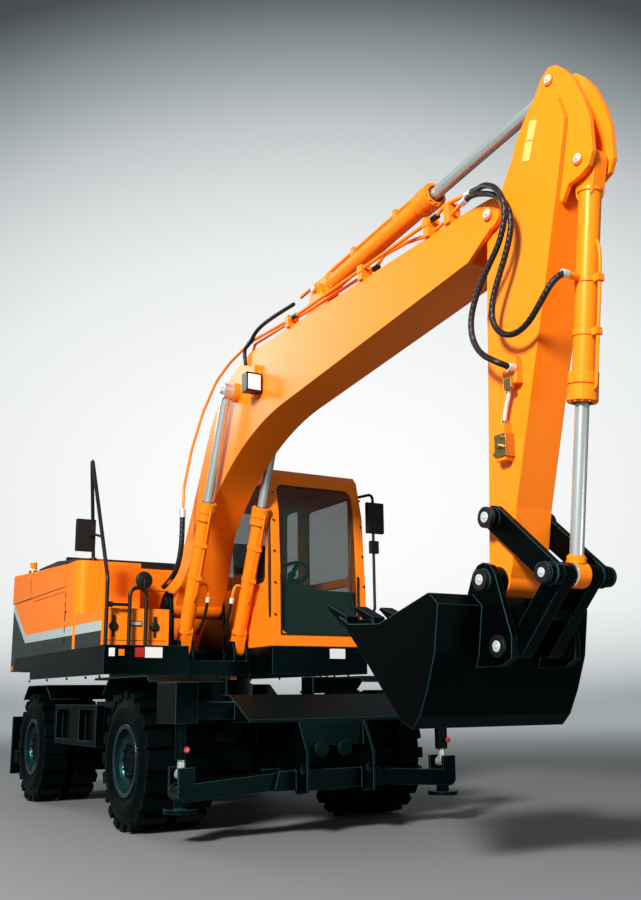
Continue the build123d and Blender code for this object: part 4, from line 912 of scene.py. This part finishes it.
# --- cab ---
def cab_details():
    """The windscreen's gasket, the lining, an extinguisher, bolts on the front posts, wiper and rail."""
    piece_of("screen_gasket", "upper", "black_plastic",
             (add_box, (1088, 318, 1540), (1106, 332, 2100)),
             (add_box, (1088, 1145, 1540), (1106, 1159, 2100)),
             (add_box, (1090, 325, 1538), (1106, 1152, 1552)))
    piece_of("cab_lining", "upper", "dark_trim",
             (add_box, (-500, 292, 1492), (1040, 300, 2015)),
             (add_box, (-500, 300, 1492), (1040, 1180, 1500)),
             (add_box, (-505, 300, 1500), (-495, 1180, 2140)),
             (add_box, (900, 320, 1500), (1030, 1160, 1960)),
             (add_box, (960, 320, 1960), (1020, 700, 2010)))
    piece_of("extinguisher", "upper", "black_plastic", (add_round, (-380, 380, 2120), (-380, 380, 2480), 60),
             (add_round, (-380, 380, 2480), (-380, 380, 2540), 28))
    upright_top, lean = 1950, 0.062     # above this height the cab's front leans back
    bolts = []
    for z in (1720, 2010, 2300, 2590, 2850):
        x = 1100 - max(0, z - upright_top) * lean
        bolts += [(add_round, (x, y, z), (x + 10, y, z), 10, 10) for y in (262, 1215)]
    piece_of("cab_bolts", "upper", "black_plastic", *bolts)
    arm = ((1100, 1120, 1640), (1098, 1060, 2000), (1080, 1085, 2350), (1072, 1095, 2500))
    line_piece("wiper", arm, 7, "upper", "black_plastic")
    rail = ((1050, 236, 1700), (1062, 222, 1900), (1062, 220, 2400), (1020, 236, 2700))
    line_piece("grab_rail", rail, 12, "upper", "black_plastic")


# --- undercarriage ---
def chassis_details():
    """Reflectors on the outriggers' frame, its round bosses and the slewing ring's bolts."""
    piece_of("reflectors", "chassis", "red_lens",
             *[(add_turned, (2440, y, 640), ((0, 22), (6, 22), (9, 14)), 24, "X") for y in (-1130, 1130)])
    boss = ((0, 62), (26, 62), (32, 52), (32, 30))
    piece_of("frame_bosses", "chassis", "frame_paint",
             *[(add_turned, (2520, y, 620), boss, 32, "X") for y in (-100, 100)])
    bolts, ring = [], 470
    for i in range(24):
        x, y = ring * math.cos(TAU * i / 24), ring * math.sin(TAU * i / 24)
        bolts.append((add_round, (x, y, 1168), (x, y, 1179), 12, 6))
    piece_of("ring_bolts", "upper", "black_plastic", *bolts)


for make in (hoses, pins, cylinders, boom_cylinder_ports, boom_hoses, boom_lamp, boom_piping, hose_fittings,
             arm_fittings, wheels, locker_details, side_details, lamp_details, hood_details, mirror_details,
             deck_bolts, cab_details, chassis_details):
    make()

# --- stage ---
FLOOR_NEAR, FLOOR_FAR = (0.19, 0.192, 0.2), (0.347, 0.386, 0.391)
FLOOR_FADE = (2.0, 26.0)        # metres along the view over which the near colour becomes the far one
AIR, AIR_STRENGTH = (0.88, 0.95, 0.96), 0.22
# backdrop: painted light, grey by the distance from its brightest spot, and painted shade where it falls off towards
# the floor
SKY = ((0.0, 0.985), (0.075, 0.974), (0.137, 0.94), (0.197, 0.896), (0.2575, 0.847), (0.318, 0.73),
       (0.379, 0.578), (0.44, 0.356), (0.50, 0.162), (0.53, 0.085), (0.6, 0.03))
SKY_FOOT = ((0.10, 1.0), (0.135, 0.99), (0.164, 0.90), (0.195, 0.74), (0.226, 0.50), (0.26, 0.45))
SKY_SPOT, SKY_WIDTH = -0.0275, 0.65     # height of the brightest spot, and how sideways distance counts
SKY_REACH = (0.55, 0.82)        # cosine of the angle to the view: plain grey below, whole backdrop above
# name, place, what it faces, its sides, its power and its colour
LAMPS = (("key", (9.5, -11.5, 9), (0.5, 0, 1.8), (2.6, 2.6), 4900, (1, 1, 1)),
         ("fill", (10.5, 3, 0.9), (1, 0, 2.6), (4, 1.6), 80, (1, 0.85, 0.7)),
         ("back", (-9, -3, 8), (0, 0, 1.5), (4, 4), 400, (1, 1, 1)))


def cool_grey(grey):
    """A grey that turns slightly blue-green as it darkens."""
    return grey * (1 - 0.16 * (1 - grey)), grey, grey * (1 + 0.03 * (1 - grey)), 1


def mix_shaders(tree, share, first, second, out):
    """Two shaders mixed into the surface of an output node."""
    mixed = add_node(tree, "ShaderNodeMixShader")
    tree.links.new(share, mixed.inputs["Fac"])
    tree.links.new(first, mixed.inputs[1])
    tree.links.new(second, mixed.inputs[2])
    tree.links.new(mixed.outputs["Shader"], out.inputs["Surface"])


def make_floor():
    """A grey floor whose far part has the backdrop's own colour where the camera sees it."""
    bpy.ops.mesh.primitive_plane_add(size=160, location=(0, 0, 0))
    floor = bpy.context.active_object
    floor.name = "floor"
    material, tree, shader = nodes_of("floor")
    place = add_node(tree, "ShaderNodeTexCoord")
    beyond = dot_node(tree, place.outputs["Object"], (-math.cos(YAW), math.sin(YAW), 0))
    fade = range_node(tree, beyond, *FLOOR_FADE, interpolation_type="SMOOTHSTEP")
    seen = add_node(tree, "ShaderNodeLightPath")
    pale = add_node(tree, "ShaderNodeEmission", Strength=1.0)
    pale.inputs["Color"].default_value = (*FLOOR_FAR, 1)
    shader.inputs["Base Color"].default_value = (*FLOOR_NEAR, 1)
    shader.inputs["Roughness"].default_value = 0.6
    shader.inputs["Specular IOR Level"].default_value = 0.2
    out = next(n for n in tree.nodes if n.type == "OUTPUT_MATERIAL")
    share = math_node(tree, "MULTIPLY", fade, seen.outputs["Is Camera Ray"])
    mix_shaders(tree, share, shader.outputs["BSDF"], pale.outputs["Emission"], out)
    floor.data.materials.append(material)
    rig.stage(floor)


def backdrop_painted_light(tree):
    """Painted light: palest behind the machine, painted shade darker towards the corners, and grey down to the floor's
    far end.
    """
    place = add_node(tree, "ShaderNodeTexCoord")
    ahead, right, up = [dot_node(tree, place.outputs["Generated"], axis) for axis in view_axes()]
    across = math_node(tree, "MULTIPLY", math_node(tree, "DIVIDE", right, ahead), SKY_WIDTH)
    rise = math_node(tree, "DIVIDE", up, ahead)
    above = math_node(tree, "SUBTRACT", rise, SKY_SPOT)
    squares = [math_node(tree, "MULTIPLY", value, value) for value in (across, above)]
    distance = math_node(tree, "SQRT", math_node(tree, "ADD", *squares))
    greys = []
    for value, stops in ((distance, SKY), (math_node(tree, "MULTIPLY", rise, -1.0), SKY_FOOT)):
        ramp = add_node(tree, "ShaderNodeValToRGB")
        while len(ramp.color_ramp.elements) < len(stops):
            ramp.color_ramp.elements.new(0.5)
        for element, (position, grey) in zip(ramp.color_ramp.elements, stops):
            element.position = position
            element.color = cool_grey(grey)
        tree.links.new(value, ramp.inputs["Fac"])
        greys.append(ramp.outputs["Color"])
    both = add_node(tree, "ShaderNodeVectorMath", operation="MULTIPLY")
    tree.links.new(greys[0], both.inputs[0])
    tree.links.new(greys[1], both.inputs[1])
    inside = range_node(tree, ahead, *SKY_REACH, interpolation_type="SMOOTHSTEP")
    return mix_colour(tree, inside, FLOOR_FAR, both.outputs["Vector"])


def make_world():
    """A studio whose backdrop only the camera sees; a weak, even light comes from all round."""
    world = bpy.data.worlds.new("studio")
    bpy.context.scene.world = world
    world.use_nodes = True
    tree = world.node_tree
    tree.nodes.clear()
    out = add_node(tree, "ShaderNodeOutputWorld")
    lit = add_node(tree, "ShaderNodeBackground", Strength=AIR_STRENGTH)
    lit.inputs["Color"].default_value = (*AIR, 1)
    seen = add_node(tree, "ShaderNodeBackground", Strength=1.0)
    tree.links.new(backdrop_painted_light(tree), seen.inputs["Color"])
    path = add_node(tree, "ShaderNodeLightPath")
    share = path.outputs["Is Camera Ray"]
    mix_shaders(tree, share, lit.outputs["Background"], seen.outputs["Background"], out)


def make_lamps():
    """Soft rectangular lamps."""
    for name, place, aim, sides, power, colour in LAMPS:
        data = bpy.data.lights.new(name, "AREA")
        data.shape = "RECTANGLE"
        data.size, data.size_y = sides
        data.energy = power
        data.color = colour
        light = add_object(name, data)
        light.location = place
        light.rotation_euler = (Vector(aim) - Vector(place)).to_track_quat("-Z", "Y").to_euler()


make_floor()
make_world()
make_lamps()
bpy.context.scene.view_settings.view_transform = "Standard"

visual_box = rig.bounds()
with open("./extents.json", "w") as out:
    json.dump({"cad": [list(v) for v in cad_box], "visual": [list(v) for v in visual_box]}, out)
